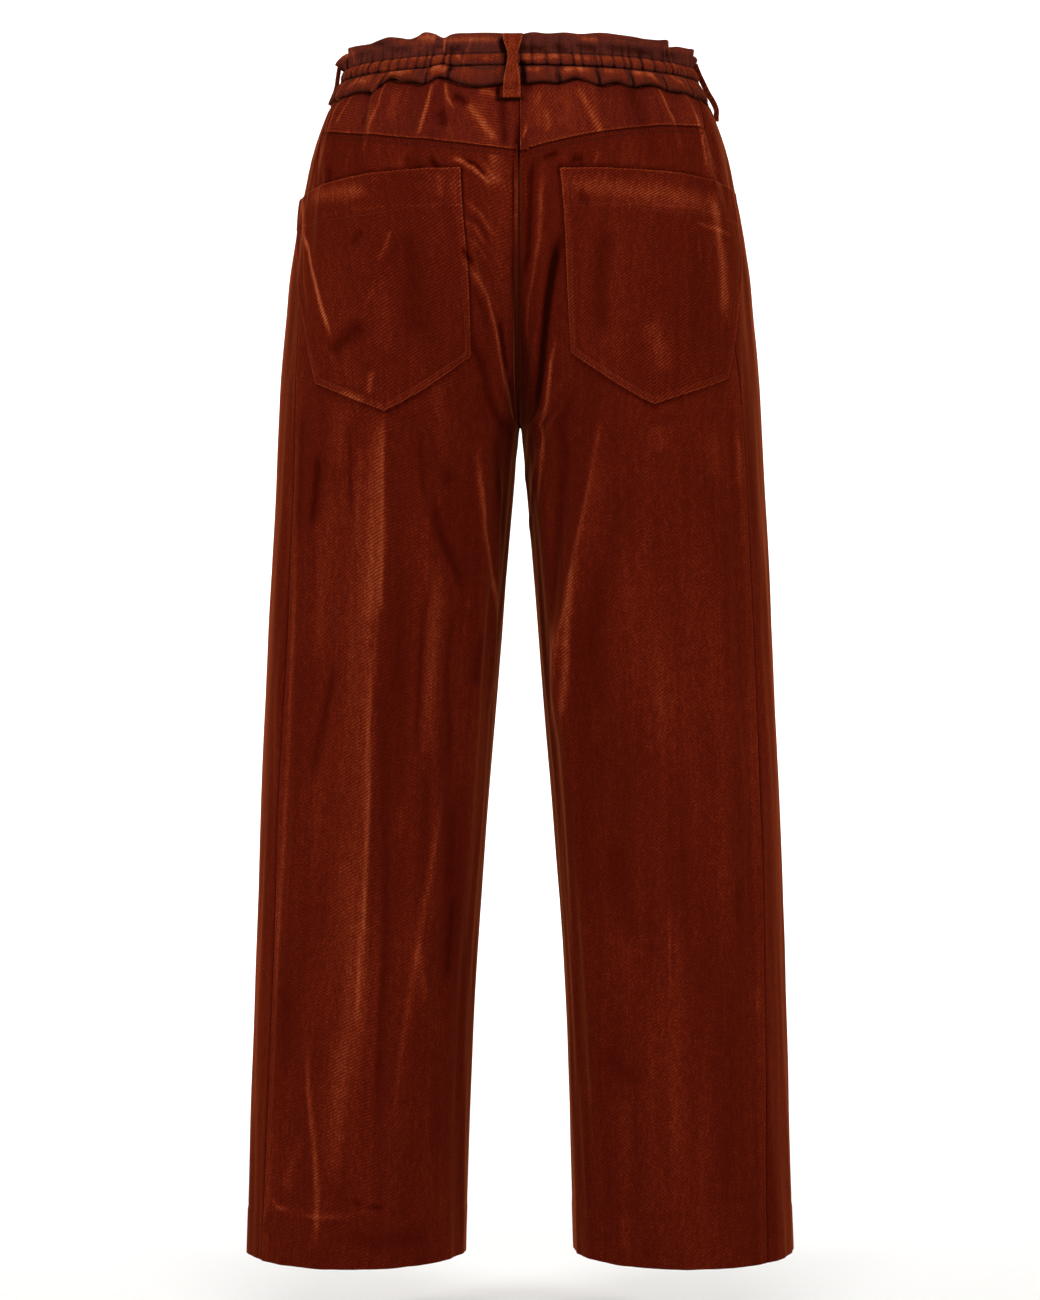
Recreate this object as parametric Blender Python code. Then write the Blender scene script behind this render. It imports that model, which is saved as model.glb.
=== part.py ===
"""Velvet trousers with an elasticated paper-bag waist, a back yoke and two patch pockets.

The trousers keep the round form that they have when they are worn, with nobody in them. Every cut piece is
a thin wall on one common form, which is a stack of level sections from the waist to the hems.
Metres, +Z up. The origin is at the middle of the waist elastic, where a wearer's waist holds the trousers.
The front faces -Y, and the wearer's left side is +X.
"""

import math
from collections import namedtuple

import bmesh
import bpy
import numpy as np
from mathutils import Vector

MM = 0.001

# Cloth and seams, in millimetres.
CLOTH = 1.6  # velvet with its pile
BAND_CLOTH = 2.0  # two layers of velvet drawn together
LOOP_CLOTH = 2.6  # a strip folded in four
SEAM_GAP = 0.3  # between neighbouring pieces
POCKET_LIFT = 1.2  # from the seat to the pocket's inner face

# Heights, in millimetres above the waist elastic.
WAIST_SEAM = -22.5
YOKE_AT_SIDE = -48.0
CROTCH = -290.0
HEM = -974.0

# The yoke seam drops towards the centre back, more suddenly on the right, where the cloth is pulled up.
YOKE_DIP = 28.0
YOKE_CURVE = {"left": 1.05, "right": 2.0}
DIP_GONE = -250.0  # the grain of the backs is level again below here

# Level sections of the form, in millimetres. outer is the side's distance from the middle plane, and crest
# that of the fullest point of the seat and of the legs. back, front and side are the Y of the rearmost,
# foremost and outermost points. inner is where a leg's ring is nearest to the middle plane: above the fork
# the two rings run into each other, so it is less than 0 there. inner_front is the same for the front half
# of the ring. oneness is 1 where the section is one round body, and 0 where it is two rings side by side.
Section = namedtuple("Section", "z outer inner inner_front crest back front side oneness")
SECTIONS = [
    Section(30, 140, -160, -230, 72, 97, -96, 0, 1.0),
    Section(0, 147, -160, -230, 76, 100, -99, 0, 1.0),
    Section(-10, 150.5, -158, -228, 79, 102.5, -100.5, 1, 1.0),
    Section(-22, 157.2, -155, -225, 82, 106, -103, 1, 1.0),
    Section(-42, 165.5, -148, -220, 86, 112, -106, 2, 0.96),
    Section(-67, 173, -136, -212, 91, 119, -109, 3, 0.86),
    Section(-92, 178, -118, -202, 94, 125, -112, 4, 0.68),
    Section(-117, 183, -98, -188, 96, 130, -114, 5, 0.48),
    Section(-142, 187, -78, -168, 97, 133, -115, 6, 0.30),
    Section(-170, 191, -60, -136, 98, 135, -116, 7, 0.14),
    Section(-200, 193.5, -42, -94, 98, 135, -116, 8, 0.04),
    Section(-230, 196.2, -26, -54, 98, 133.5, -114, 8, 0.0),
    Section(-254, 198, -14.5, -28, 99, 131, -113, 8, 0.0),
    Section(-271, 199, -7.2, -13, 99, 129, -112, 8, 0.0),
    Section(-282, 199.6, -2.9, -5, 100, 128, -111, 8, 0.0),
    Section(-290, 200, 0, 0, 100, 127, -111, 8, 0.0),
    Section(-305, 200.8, 2.0, 2.0, 101, 125.5, -110, 8, 0.0),
    Section(-351, 203, 6.2, 6.2, 104, 122, -108, 8, 0.0),
    Section(-418, 207, 12, 12, 109, 118, -105, 8, 0.0),
    Section(-518, 212, 20, 20, 116, 114, -102, 7, 0.0),
    Section(-618, 216, 28, 28, 122, 111, -100, 7, 0.0),
    Section(-752, 220, 37, 37, 128, 108, -98, 6, 0.0),
    Section(-852, 223, 41, 41, 132, 106, -98, 6, 0.0),
    Section(-980, 227, 45, 45, 136, 106, -99, 6, 0.0),
]

# Where the seams run, as turns in degrees: 0 is the centre back or the inseam, 90 the back of the leg, 180
# the side, 270 the front of the leg, and 360 the centre front.
SeamTurn = namedtuple("SeamTurn", "z left right inseam")
SEAM_TURNS = [
    SeamTurn(-20, 160, 138, 0),
    SeamTurn(-50, 153, 131, 0),
    SeamTurn(-97, 144, 129, 0),
    SeamTurn(-165, 147, 136, 0),
    SeamTurn(-220, 147, 139, 0),
    SeamTurn(-290, 146, 143, 0),
    SeamTurn(-430, 143.5, 143.5, -8),
    SeamTurn(-620, 143.5, 142, -14),
    SeamTurn(-980, 145.5, 136, -20),
]

# Soft folds that the cloth falls into. Each runs from a turn at its top to a turn at its foot. width is in
# degrees to each side, and depth in millimetres, positive for a ridge and negative for a trough.
Fold = namedtuple("Fold", "side top top_turn foot foot_turn width depth")
FOLDS = [
    # Fullness let out below the elastic, over the yoke and the top of the seat.
    Fold("left", -10, 132, -95, 136, 13, 2.8),
    Fold("left", -10, 93, -110, 90, 13, 3.4),
    Fold("left", -10, 70, -90, 73, 13, -2.2),
    Fold("left", -10, 47, -115, 57, 13, 3.4),
    Fold("right", -10, 38, -110, 44, 13, 2.6),
    Fold("right", -10, 78, -150, 112, 14, 3.4),
    Fold("right", -10, 112, -150, 134, 13, 2.8),
    # The same fullness in front, where no yoke interrupts it.
    Fold("both", -10, 212, -190, 206, 17, 3.4),
    Fold("both", -10, 250, -240, 252, 18, 3.8),
    Fold("both", -10, 292, -250, 286, 18, 3.6),
    Fold("both", -10, 330, -200, 318, 17, 2.8),
    # Drag lines from the seat to the crotch, and the long folds of the legs.
    Fold("left", -120, 38, -310, 22, 14, 4.2),
    Fold("left", -280, 97, -970, 84, 17, 5.0),
    Fold("left", -300, 76, -920, 52, 16, 3.6),
    Fold("left", -310, 120, -820, 114, 16, -3.2),
    Fold("left", -720, 112, -1000, 107, 15, 3.0),
    Fold("right", -260, 76, -560, 22, 15, 5.2),
    Fold("right", -440, 34, -920, 44, 16, 4.0),
    Fold("right", -340, 94, -820, 76, 17, -3.8),
    Fold("right", -350, 118, -960, 106, 17, 3.2),
    Fold("both", -240, 270, -920, 268, 20, 5.0),
    Fold("both", -320, 228, -820, 228, 18, -3.4),
    Fold("both", -330, 312, -780, 316, 18, -3.4),
]
FOLD_FADE = 0.25  # share of a fold's length over which it comes and goes
SEAM_CLEAR = 16.0  # degrees from a centre seam within which the folds fade out

# Grain lines of the panels, by their height at the side seam.
YOKE_ROWS = [WAIST_SEAM, -31, -39.5, YOKE_AT_SIDE]
SEAT_ROWS = [YOKE_AT_SIDE, -78, -110, -140, -170, -200, -230, -254, -271, -282, -288, CROTCH]
LEG_ROWS = [-304, -336, -380, -436, -500, -570, -645, -720, -795, -870, -925, HEM]
PANEL_ROWS = SEAT_ROWS + LEG_ROWS
BACK_COLUMNS = 18
FRONT_COLUMNS = 19
YOKE_COLUMNS = 16

# The waistband from its seam to the top of the heading, in millimetres. out is how far it stands off the
# form, gather the height of the small gathers, puff that of the billows below the elastic, and frill that of
# the heading's waves.
BandRow = namedtuple("BandRow", "z out gather puff frill")
BAND_ROWS = [
    BandRow(-22.2, 0.3, 0.3, 0.0, 0.0),
    BandRow(-15.0, 1.7, 0.6, 1.7, 0.0),
    BandRow(-6.5, 0.0, 0.9, 0.0, 0.0),
    BandRow(-0.8, 1.6, 1.2, 0.0, 0.0),
    BandRow(5.0, -0.4, 0.9, 0.0, 0.0),
    BandRow(12.5, 0.6, 0.6, 0.0, 2.2),
    BandRow(20.5, 1.2, 0.3, 0.0, 4.0),
]
GATHERS = 102  # round the whole waist, each with one crest and one trough
PUFFS = 24
FRILL_WAVES = ((13, 0.9, 0.55), (22, 2.3, 0.60), (31, 4.1, 0.30))  # waves round the waist, phase, share
FRILL_DIP = 1.4  # how much lower the heading's edge is where it waves outwards
WAIST_ROUND = 780.0  # the length of the ring at the elastic
LOOP_FLAT = 12.0  # the tack of a belt loop holds the heading flat this far to each side

# The patch pockets. Each corner is a turn and a height on the back panel.
Corner = namedtuple("Corner", "turn z")
Pocket = namedtuple("Pocket", "top_inner top_outer foot_outer tip foot_inner")
POCKETS = {
    "left": Pocket(
        Corner(34.5, -90.5), Corner(167, -104), Corner(129.5, -262), Corner(94.5, -285.5), Corner(43, -241)
    ),
    "right": Pocket(
        Corner(23, -91), Corner(161, -99.5), Corner(133, -257.5), Corner(94, -280), Corner(44, -238)
    ),
}
POCKET_ARCH = 4.0  # how much the top edge rises between its corners
POCKET_COLUMNS = 16  # half of them to each side of the tip
POCKET_ROWS = 8

# Belt loops, from the tack on the heading to the tack below the waist seam. out is how far the strap's outer
# face stands off the form. share is the place round the waist, from the centre back by the left side.
LoopRow = namedtuple("LoopRow", "z out width")
BACK_LOOP = [
    LoopRow(20.0, 4.6, 16),
    LoopRow(15.5, 4.8, 15.5),
    LoopRow(10.0, 6.6, 12),
    LoopRow(2.0, 9.0, 7),
    LoopRow(-7.0, 10.4, 9),
    LoopRow(-16.0, 10.6, 12.5),
    LoopRow(-23.5, 8.2, 13.5),
    LoopRow(-28.0, 3.8, 14),
    LoopRow(-32.5, 3.1, 14),
]
SIDE_LOOP = [
    LoopRow(17.0, 4.6, 12),
    LoopRow(13.0, 4.8, 12),
    LoopRow(8.0, 6.2, 11),
    LoopRow(1.0, 8.4, 10),
    LoopRow(-8.0, 10.8, 10),
    LoopRow(-17.0, 11.6, 11),
    LoopRow(-25.0, 8.8, 11.5),
    LoopRow(-30.5, 3.8, 12),
    LoopRow(-35.0, 3.1, 12),
]
Loop = namedtuple("Loop", "share rows")
LOOPS = {
    "back": Loop(0.0065, BACK_LOOP),
    "left": Loop(0.243, SIDE_LOOP),
    "right": Loop(0.757, SIDE_LOOP),
}

Finish = namedtuple("Finish", "colour roughness")
FINISHES = {
    "velvet_panels": Finish((0.098, 0.010, 0.003, 1.0), 0.85),
    "velvet_yoke": Finish((0.110, 0.012, 0.004, 1.0), 0.85),
    "velvet_waistband": Finish((0.130, 0.018, 0.006, 1.0), 0.85),
    "velvet_pocket": Finish((0.088, 0.009, 0.003, 1.0), 0.85),
    "velvet_belt_loop": Finish((0.120, 0.014, 0.005, 1.0), 0.85),
}


def clear_scene():
    for obj in list(bpy.data.objects):
        bpy.data.objects.remove(obj, do_unlink=True)


def new_collection(name):
    collection = bpy.data.collections.new(name)
    bpy.context.scene.collection.children.link(collection)
    return collection


def material(name):
    made = bpy.data.materials.get(name)
    if made is None:
        made = bpy.data.materials.new(name)
        made.use_nodes = True
        shader = made.node_tree.nodes["Principled BSDF"]
        shader.inputs["Base Color"].default_value = FINISHES[name].colour
        shader.inputs["Roughness"].default_value = FINISHES[name].roughness
        shader.inputs["Metallic"].default_value = 0.0
    return made


def smooth_column(table, field):
    """One column of a table as a smooth function of height."""
    z = np.array([row.z for row in reversed(table)], float)
    value = np.array([getattr(row, field) for row in reversed(table)], float)
    slope = np.gradient(value, z)

    def at(height):
        height = min(max(height, z[0]), z[-1])
        k = min(int(np.searchsorted(z, height, side="right")) - 1, len(z) - 2)
        step = z[k + 1] - z[k]
        t = (height - z[k]) / step
        rise = (value[k + 1] - value[k]) * t * t * (3 - 2 * t)
        swing = slope[k] * step * t * (1 - t) ** 2 - slope[k + 1] * step * t * t * (1 - t)
        return float(value[k] + rise + swing)

    return at


SECTION_AT = {field: smooth_column(SECTIONS, field) for field in Section._fields if field != "z"}
SEAM_AT = {field: smooth_column(SEAM_TURNS, field) for field in SeamTurn._fields if field != "z"}


def ease(share):
    share = min(max(share, 0.0), 1.0)
    return share * share * (3 - 2 * share)


def form(turn, z):
    """A point of the smooth form on the left half, in millimetres."""
    size = {field: at(z) for field, at in SECTION_AT.items()}
    turn = min(max(turn, 0.0), 360.0) if z > CROTCH else turn % 360
    crest = size["crest"]
    if 90 <= turn <= 270:
        angle = math.radians(turn)
        lobe_x = crest - (size["outer"] - crest) * math.cos(angle)
    else:
        from_seam = turn if turn < 90 else 360 - turn
        inner = size["inner"] if turn < 90 else size["inner_front"]
        start = math.acos(crest / (crest - inner)) if z > CROTCH else 0.0
        angle = start + (math.pi / 2 - start) * from_seam / 90
        lobe_x = crest - (crest - inner) * math.cos(angle)
    far = size["back"] if turn <= 180 else size["front"]
    lobe_y = size["side"] + (far - size["side"]) * abs(math.sin(angle))
    half = math.radians(turn / 2)
    body_x = size["outer"] * math.sin(half)
    body_y = size["side"] + (far - size["side"]) * abs(math.cos(half))
    one = size["oneness"]
    return Vector((lobe_x + (body_x - lobe_x) * one, lobe_y + (body_y - lobe_y) * one, z))


def outward(turn, z):
    """The form's level outward direction, square to the section."""
    low, high = turn - 0.5, turn + 0.5
    if z > CROTCH:
        low, high = max(low, 0.0), min(high, 360.0)
    along = form(high, z) - form(low, z)
    return Vector((-along.y, along.x, 0)).normalized()


def fold_depth(side, turn, z):
    """How far the folds move the cloth out at a place, in millimetres."""
    total = 0.0
    for fold in FOLDS:
        if fold.side not in (side, "both") or not fold.foot < z < fold.top:
            continue
        along = (fold.top - z) / (fold.top - fold.foot)
        middle = fold.top_turn + (fold.foot_turn - fold.top_turn) * along
        across = abs(turn - middle) / fold.width
        if across < 1:
            ends = ease(along / FOLD_FADE) * ease((1 - along) / FOLD_FADE)
            total += fold.depth * ends * 0.5 * (1 + math.cos(math.pi * across))
    if z > CROTCH:
        total *= ease(min(turn, 360 - turn) / SEAM_CLEAR)
    return total


def on_cloth(side, turn, z, lift=0.0):
    """A place on a half's outer face, moved out by lift millimetres, with the outward direction there."""
    away = outward(turn, z)
    point = form(turn, z) + away * (fold_depth(side, turn, z) + lift)
    point.x += SEAM_GAP / 2
    if side == "right":
        point.x = -point.x
        away.x = -away.x
    return point * MM, away


def yoke_dip(side, share):
    """How far the yoke seam is below its side end, at a share of the way from centre back to side."""
    return YOKE_DIP * (1 - share) ** YOKE_CURVE[side]


def grain_height(side, row, share):
    """The height of a grain line of a back, which follows the yoke seam and is level further down."""
    return row - yoke_dip(side, share) * ease((row - DIP_GONE) / (YOKE_AT_SIDE - DIP_GONE))


def seam_gap_turn(z):
    """Half a seam gap at the side or the inseam, in degrees."""
    reach = SECTION_AT["outer"](z) - SECTION_AT["crest"](z)
    return math.degrees(SEAM_GAP / 2 / reach)


def wall(name, places, thickness, finish, collection, ring=False):
    """A cloth wall: a flat pattern of two layers, laid on rows of outer places and their inward twins."""
    rows, columns = len(places) - 1, len(places[0]) - 1
    work = bmesh.new()
    bmesh.ops.create_grid(work, x_segments=columns, y_segments=rows, size=0.5)
    inner = bmesh.ops.extrude_face_region(work, geom=work.faces[:], use_keep_orig=True)["geom"]
    bmesh.ops.translate(work, verts=[v for v in inner if isinstance(v, bmesh.types.BMVert)], vec=(0, 0, 1))
    ends = [f for f in work.faces if abs(f.calc_center_median().x) > 0.4999]
    if ring:
        bmesh.ops.delete(work, geom=ends, context="FACES_ONLY")
    for vert in work.verts:
        row = round((vert.co.y + 0.5) * rows)
        place, away = places[row][round((vert.co.x + 0.5) * columns)]
        vert.co = place - away * (vert.co.z * thickness * MM)
    if ring:
        bmesh.ops.remove_doubles(work, verts=work.verts[:], dist=0.00001)
    bmesh.ops.recalc_face_normals(work, faces=work.faces[:])
    if work.calc_volume(signed=True) < 0:
        bmesh.ops.reverse_faces(work, faces=work.faces[:])
    mesh = bpy.data.meshes.new(name)
    work.to_mesh(mesh)
    work.free()
    mesh.shade_smooth()
    mesh.set_sharp_from_angle(angle=math.radians(50))
    mesh.materials.append(material(finish))
    obj = bpy.data.objects.new(name, mesh)
    collection.objects.link(obj)
    return obj


def back_panel(side, collection):
    """A back, from the yoke seam to the hem, between the centre back or inseam and the side seam."""
    places = []
    for row in PANEL_ROWS:
        line = []
        for step in range(BACK_COLUMNS + 1):
            share = step / BACK_COLUMNS
            z = grain_height(side, row, share)
            if row == PANEL_ROWS[0]:
                z -= SEAM_GAP / 2
            gap = seam_gap_turn(z)
            first = SEAM_AT["inseam"](z) + gap if z <= CROTCH else 0.0
            last = SEAM_AT[side](z) - gap
            line.append(on_cloth(side, first + (last - first) * share, z))
        places.append(line)
    return wall("back_" + side, places, CLOTH, "velvet_panels", collection)


def front_panel(side, collection):
    """A front, from the waist seam to the hem, between the side seam and the centre front or inseam."""
    places = []
    for row in YOKE_ROWS[:-1] + PANEL_ROWS:
        z = row - SEAM_GAP / 2 if row == YOKE_ROWS[0] else row
        gap = seam_gap_turn(z)
        first = SEAM_AT[side](z) + gap
        last = 360 + SEAM_AT["inseam"](z) - gap if z <= CROTCH else 360.0
        turns = [first + (last - first) * step / FRONT_COLUMNS for step in range(FRONT_COLUMNS + 1)]
        places.append([on_cloth(side, turn, z) for turn in turns])
    return wall("front_" + side, places, CLOTH, "velvet_panels", collection)


def yoke(side, collection):
    """Half of the back yoke, between the waist seam and the curved seam on the seat."""
    places = []
    for row in YOKE_ROWS:
        down = (row - WAIST_SEAM) / (YOKE_AT_SIDE - WAIST_SEAM)
        line = []
        for step in range(YOKE_COLUMNS + 1):
            share = step / YOKE_COLUMNS
            z = row - yoke_dip(side, share) * down
            if row == YOKE_ROWS[0]:
                z -= SEAM_GAP / 2
            if row == YOKE_ROWS[-1]:
                z += SEAM_GAP / 2
            last = SEAM_AT[side](z) - seam_gap_turn(z)
            line.append(on_cloth(side, last * share, z))
        places.append(line)
    return wall("yoke_" + side, places, CLOTH, "velvet_yoke", collection)


def round_waist(share, z, out):
    """A place round the waist and its outward direction. Share 0 is the centre back, 0.25 the left side."""
    share = share % 1.0
    turn = 720 * min(share, 1 - share)
    away = outward(turn, z)
    point = form(turn, z) + away * out
    if share > 0.5:
        point.x = -point.x
        away.x = -away.x
    return point * MM, away


def freedom(share):
    """How freely the band can billow: 0 where the tack of a belt loop holds it flat, and 1 away from them."""
    free = 1.0
    for loop in LOOPS.values():
        apart = abs(share - loop.share)
        apart = min(apart, 1 - apart) * WAIST_ROUND
        free *= 1 - math.exp(-((apart / LOOP_FLAT) ** 2))
    return free


def frill_wave(share):
    """The heading's wave, from about -1 to 1."""
    return sum(part * math.sin(2 * math.pi * count * share + phase) for count, phase, part in FRILL_WAVES)


def waistband(collection):
    """The gathered waistband, one ring from its seam to the top of the heading."""
    count = 2 * GATHERS
    places = []
    for row in BAND_ROWS:
        line = []
        for step in range(count):
            share = (step + 0.25 * math.sin(2.4 * step) + 0.15 * math.sin(5.1 * step + 1)) / count
            crest = (0.75 + 0.25 * math.sin(1.7 * step)) * (1 if step % 2 else -1)
            billow = math.sin(2 * math.pi * PUFFS * share + 1.2 * math.sin(6 * math.pi * share))
            billow *= freedom(share)
            wave = frill_wave(share) * freedom(share)
            out = row.out + row.gather * crest + row.puff * billow + row.frill * wave
            z = row.z - FRILL_DIP * abs(wave) * row.frill / BAND_ROWS[-1].frill
            line.append(round_waist(share, z, out))
        places.append(line + [line[0]])
    return wall("waistband", places, BAND_CLOTH, "velvet_waistband", collection, ring=True)


def pocket(side, collection):
    """A five-sided patch on the seat, made from the seat's own points moved out."""
    corners = POCKETS[side]
    places = []
    for row in range(POCKET_ROWS + 1):
        down = row / POCKET_ROWS
        line = []
        for step in range(POCKET_COLUMNS + 1):
            across = step / POCKET_COLUMNS
            if across <= 0.5:
                start, end, part = corners.foot_inner, corners.tip, 2 * across
            else:
                start, end, part = corners.tip, corners.foot_outer, 2 * across - 1
            foot_turn = start.turn + (end.turn - start.turn) * part
            foot_z = start.z + (end.z - start.z) * part
            top_turn = corners.top_inner.turn + (corners.top_outer.turn - corners.top_inner.turn) * across
            top_z = corners.top_inner.z + (corners.top_outer.z - corners.top_inner.z) * across
            top_z += POCKET_ARCH * math.sin(math.pi * across)
            turn = top_turn + (foot_turn - top_turn) * down
            z = top_z + (foot_z - top_z) * down
            line.append(on_cloth(side, turn, z, POCKET_LIFT + CLOTH))
        places.append(line)
    return wall("pocket_" + side, places, CLOTH, "velvet_pocket", collection)


def belt_loop(name, collection):
    """A strap that stands off the waistband between its two tacks."""
    loop = LOOPS[name]
    places = []
    for row in loop.rows:
        middle, away = round_waist(loop.share, row.z, row.out)
        across = away.cross(Vector((0, 0, 1)))
        places.append([(middle + across * (row.width / 2 * MM * edge), away) for edge in (-1, 0, 1)])
    return wall("belt_loop_" + name, places, LOOP_CLOTH, "velvet_belt_loop", collection)


def main():
    clear_scene()
    collection = new_collection("velvet_trousers")
    for side in ("left", "right"):
        back_panel(side, collection)
        front_panel(side, collection)
        yoke(side, collection)
        pocket(side, collection)
    waistband(collection)
    for name in LOOPS:
        belt_loop(name, collection)


main()
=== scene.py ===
# %% [markdown]
# # Velvet trousers with a paper-bag waist
# A wide pair of trousers in rust brown velvet. Elastic gathers the waist, and above it stands a short frill.
# At the back there is a yoke, two five-sided patch pockets and a belt loop. The trousers keep the round form
# that a wearer gives them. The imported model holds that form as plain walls, and this script makes the cloth
# that shows: the drape, the seams, the stitches and the pile.

# %% Load the frame
import math

import bpy
import numpy as np
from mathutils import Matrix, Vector


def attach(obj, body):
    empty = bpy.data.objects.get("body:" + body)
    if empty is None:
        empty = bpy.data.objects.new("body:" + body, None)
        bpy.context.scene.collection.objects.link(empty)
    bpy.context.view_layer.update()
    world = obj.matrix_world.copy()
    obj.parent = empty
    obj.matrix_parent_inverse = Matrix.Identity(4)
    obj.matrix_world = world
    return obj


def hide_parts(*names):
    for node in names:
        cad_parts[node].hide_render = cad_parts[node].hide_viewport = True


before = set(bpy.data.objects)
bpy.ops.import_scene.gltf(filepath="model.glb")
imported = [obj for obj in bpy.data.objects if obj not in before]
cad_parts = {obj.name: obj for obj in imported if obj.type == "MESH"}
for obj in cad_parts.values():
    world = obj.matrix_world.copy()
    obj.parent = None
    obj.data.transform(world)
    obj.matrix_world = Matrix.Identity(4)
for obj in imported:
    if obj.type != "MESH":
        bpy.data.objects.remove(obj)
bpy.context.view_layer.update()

MM = 0.001
print("nodes:", ", ".join(sorted(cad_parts)))

# %% [markdown]
# ## Camera
# The photograph shows the back of the trousers, from the height of their middle. It could be matched by eye,
# but the waist and the hems give the distance: their curves are only as strong as at 2.8 m. So the camera
# stands there, level, and the lens follows from the height of the picture.

# %% Place the camera
CAMERA_AWAY = 2.8
CAMERA_HEIGHT = -0.476
PICTURE_HEIGHT = 1.0855  # metres across the whole picture at the middle of the trousers
SENSOR = 36.0

camera = bpy.data.objects.new("camera", bpy.data.cameras.new("camera"))
bpy.context.scene.collection.objects.link(camera)
camera.location = (0, CAMERA_AWAY, CAMERA_HEIGHT)
camera.rotation_euler = (math.radians(90), 0, math.radians(180))
camera.data.sensor_fit = "VERTICAL"
camera.data.sensor_height = SENSOR
camera.data.lens = SENSOR * CAMERA_AWAY / PICTURE_HEIGHT
bpy.context.scene.camera = camera
print(f"lens {camera.data.lens:.1f} mm")

# %% [markdown]
# ## The form under the cloth
# All the cut pieces lie on one form, a stack of level sections. Each piece could be pushed about by itself,
# but then the seams would not meet. With one form, a place is only a turn round the leg in degrees and a
# height, and neighbours share their edges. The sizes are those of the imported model, in millimetres.

# %% The form's sections
CROTCH = -290.0
HEM = -974.0
SEAM_GAP = 0.1  # between the edges of neighbours
MM_PER_DEGREE = 1.9  # round the form, roughly all over
# height, outer, inner, inner of the front, crest, back, front, side, oneness
SECTIONS = np.array([
    (30, 140, -160, -230, 72, 97, -96, 0, 1.0),
    (0, 147, -160, -230, 76, 100, -99, 0, 1.0),
    (-10, 150.5, -158, -228, 79, 102.5, -100.5, 1, 1.0),
    (-22, 157.2, -155, -225, 82, 106, -103, 1, 1.0),
    (-42, 165.5, -148, -220, 86, 112, -106, 2, 0.96),
    (-67, 173, -136, -212, 91, 119, -109, 3, 0.86),
    (-92, 178, -118, -202, 94, 125, -112, 4, 0.68),
    (-117, 183, -98, -188, 96, 130, -114, 5, 0.48),
    (-142, 187, -78, -168, 97, 133, -115, 6, 0.30),
    (-170, 191, -60, -136, 98, 135, -116, 7, 0.14),
    (-200, 193.5, -42, -94, 98, 135, -116, 8, 0.04),
    (-230, 196.2, -26, -54, 98, 133.5, -114, 8, 0.0),
    (-254, 198, -14.5, -28, 99, 131, -113, 8, 0.0),
    (-271, 199, -7.2, -13, 99, 129, -112, 8, 0.0),
    (-282, 199.6, -2.9, -5, 100, 128, -111, 8, 0.0),
    (-290, 200, 0, 0, 100, 127, -111, 8, 0.0),
    (-305, 200.8, 2.0, 2.0, 101, 125.5, -110, 8, 0.0),
    (-351, 203, 6.2, 6.2, 104, 122, -108, 8, 0.0),
    (-418, 207, 12, 12, 109, 118, -105, 8, 0.0),
    (-518, 212, 20, 20, 116, 114, -102, 7, 0.0),
    (-618, 216, 28, 28, 122, 111, -100, 7, 0.0),
    (-752, 220, 37, 37, 128, 108, -98, 6, 0.0),
    (-852, 223, 41, 41, 132, 106, -98, 6, 0.0),
    (-980, 227, 45, 45, 136, 106, -99, 6, 0.0),
], float)
# height, side seam of the left and of the right half, inseam
SEAM_TURNS = np.array([
    (-20, 160, 138, 0), (-50, 153, 131, 0), (-97, 144, 129, 0), (-165, 147, 136, 0), (-220, 147, 139, 0),
    (-290, 146, 143, 0), (-430, 143.5, 143.5, -8), (-620, 143.5, 142, -14), (-980, 145.5, 136, -20),
], float)


def smooth_line(x, y):
    """A smooth curve through points, x rising, as a function of an array."""
    x, y = np.asarray(x, float), np.asarray(y, float)
    slope = np.gradient(y, x)

    def at(where):
        where = np.clip(where, x[0], x[-1])
        k = np.clip(np.searchsorted(x, where, side="right") - 1, 0, len(x) - 2)
        step = x[k + 1] - x[k]
        t = (where - x[k]) / step
        rise = (y[k + 1] - y[k]) * t * t * (3 - 2 * t)
        return y[k] + rise + slope[k] * step * t * (1 - t) ** 2 - slope[k + 1] * step * t * t * (1 - t)

    return at


def ease(share):
    """0 up to 0, 1 from 1, and a soft step between."""
    share = np.clip(share, 0.0, 1.0)
    return share * share * (3 - 2 * share)


def columns_of(table, names):
    """A table's columns as smooth curves over its first one, which falls."""
    return {name: smooth_line(table[::-1, 0], table[::-1, k + 1]) for k, name in enumerate(names)}


SIZE = columns_of(SECTIONS, ["outer", "inner", "inner_front", "crest", "back", "front", "side", "oneness"])
SEAM = columns_of(SEAM_TURNS, ["left", "right", "inseam"])


def form(turn, z):
    """Points of the smooth form on the left half, in millimetres."""
    turn, z = np.broadcast_arrays(np.asarray(turn, float), np.asarray(z, float))
    s = {name: at(z) for name, at in SIZE.items()}
    above = z > CROTCH
    past = np.where(above, np.minimum(turn, 0) - np.maximum(turn - 360, 0), 0) * MM_PER_DEGREE
    turn = np.where(above, np.clip(turn, 0, 360), turn % 360)
    from_seam = np.where(turn < 90, turn, 360 - turn)
    inner = np.where(turn < 90, s["inner"], s["inner_front"])
    crest = s["crest"]
    start = np.where(above, np.arccos(np.clip(crest / (crest - inner), -1, 1)), 0)
    side_half = (turn >= 90) & (turn <= 270)
    angle = np.where(side_half, np.radians(turn), start + (math.pi / 2 - start) * from_seam / 90)
    reach = np.where(side_half, s["outer"] - crest, crest - inner)
    far = np.where(turn <= 180, s["back"], s["front"])
    lobe_x = crest - reach * np.cos(angle)
    lobe_y = s["side"] + (far - s["side"]) * np.abs(np.sin(angle))
    half = np.radians(turn / 2)
    body_x = s["outer"] * np.sin(half)
    body_y = s["side"] + (far - s["side"]) * np.abs(np.cos(half))
    one = s["oneness"]
    x, y = lobe_x + (body_x - lobe_x) * one, lobe_y + (body_y - lobe_y) * one
    return np.stack([x + past, y, z + 0 * one], -1)


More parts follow.
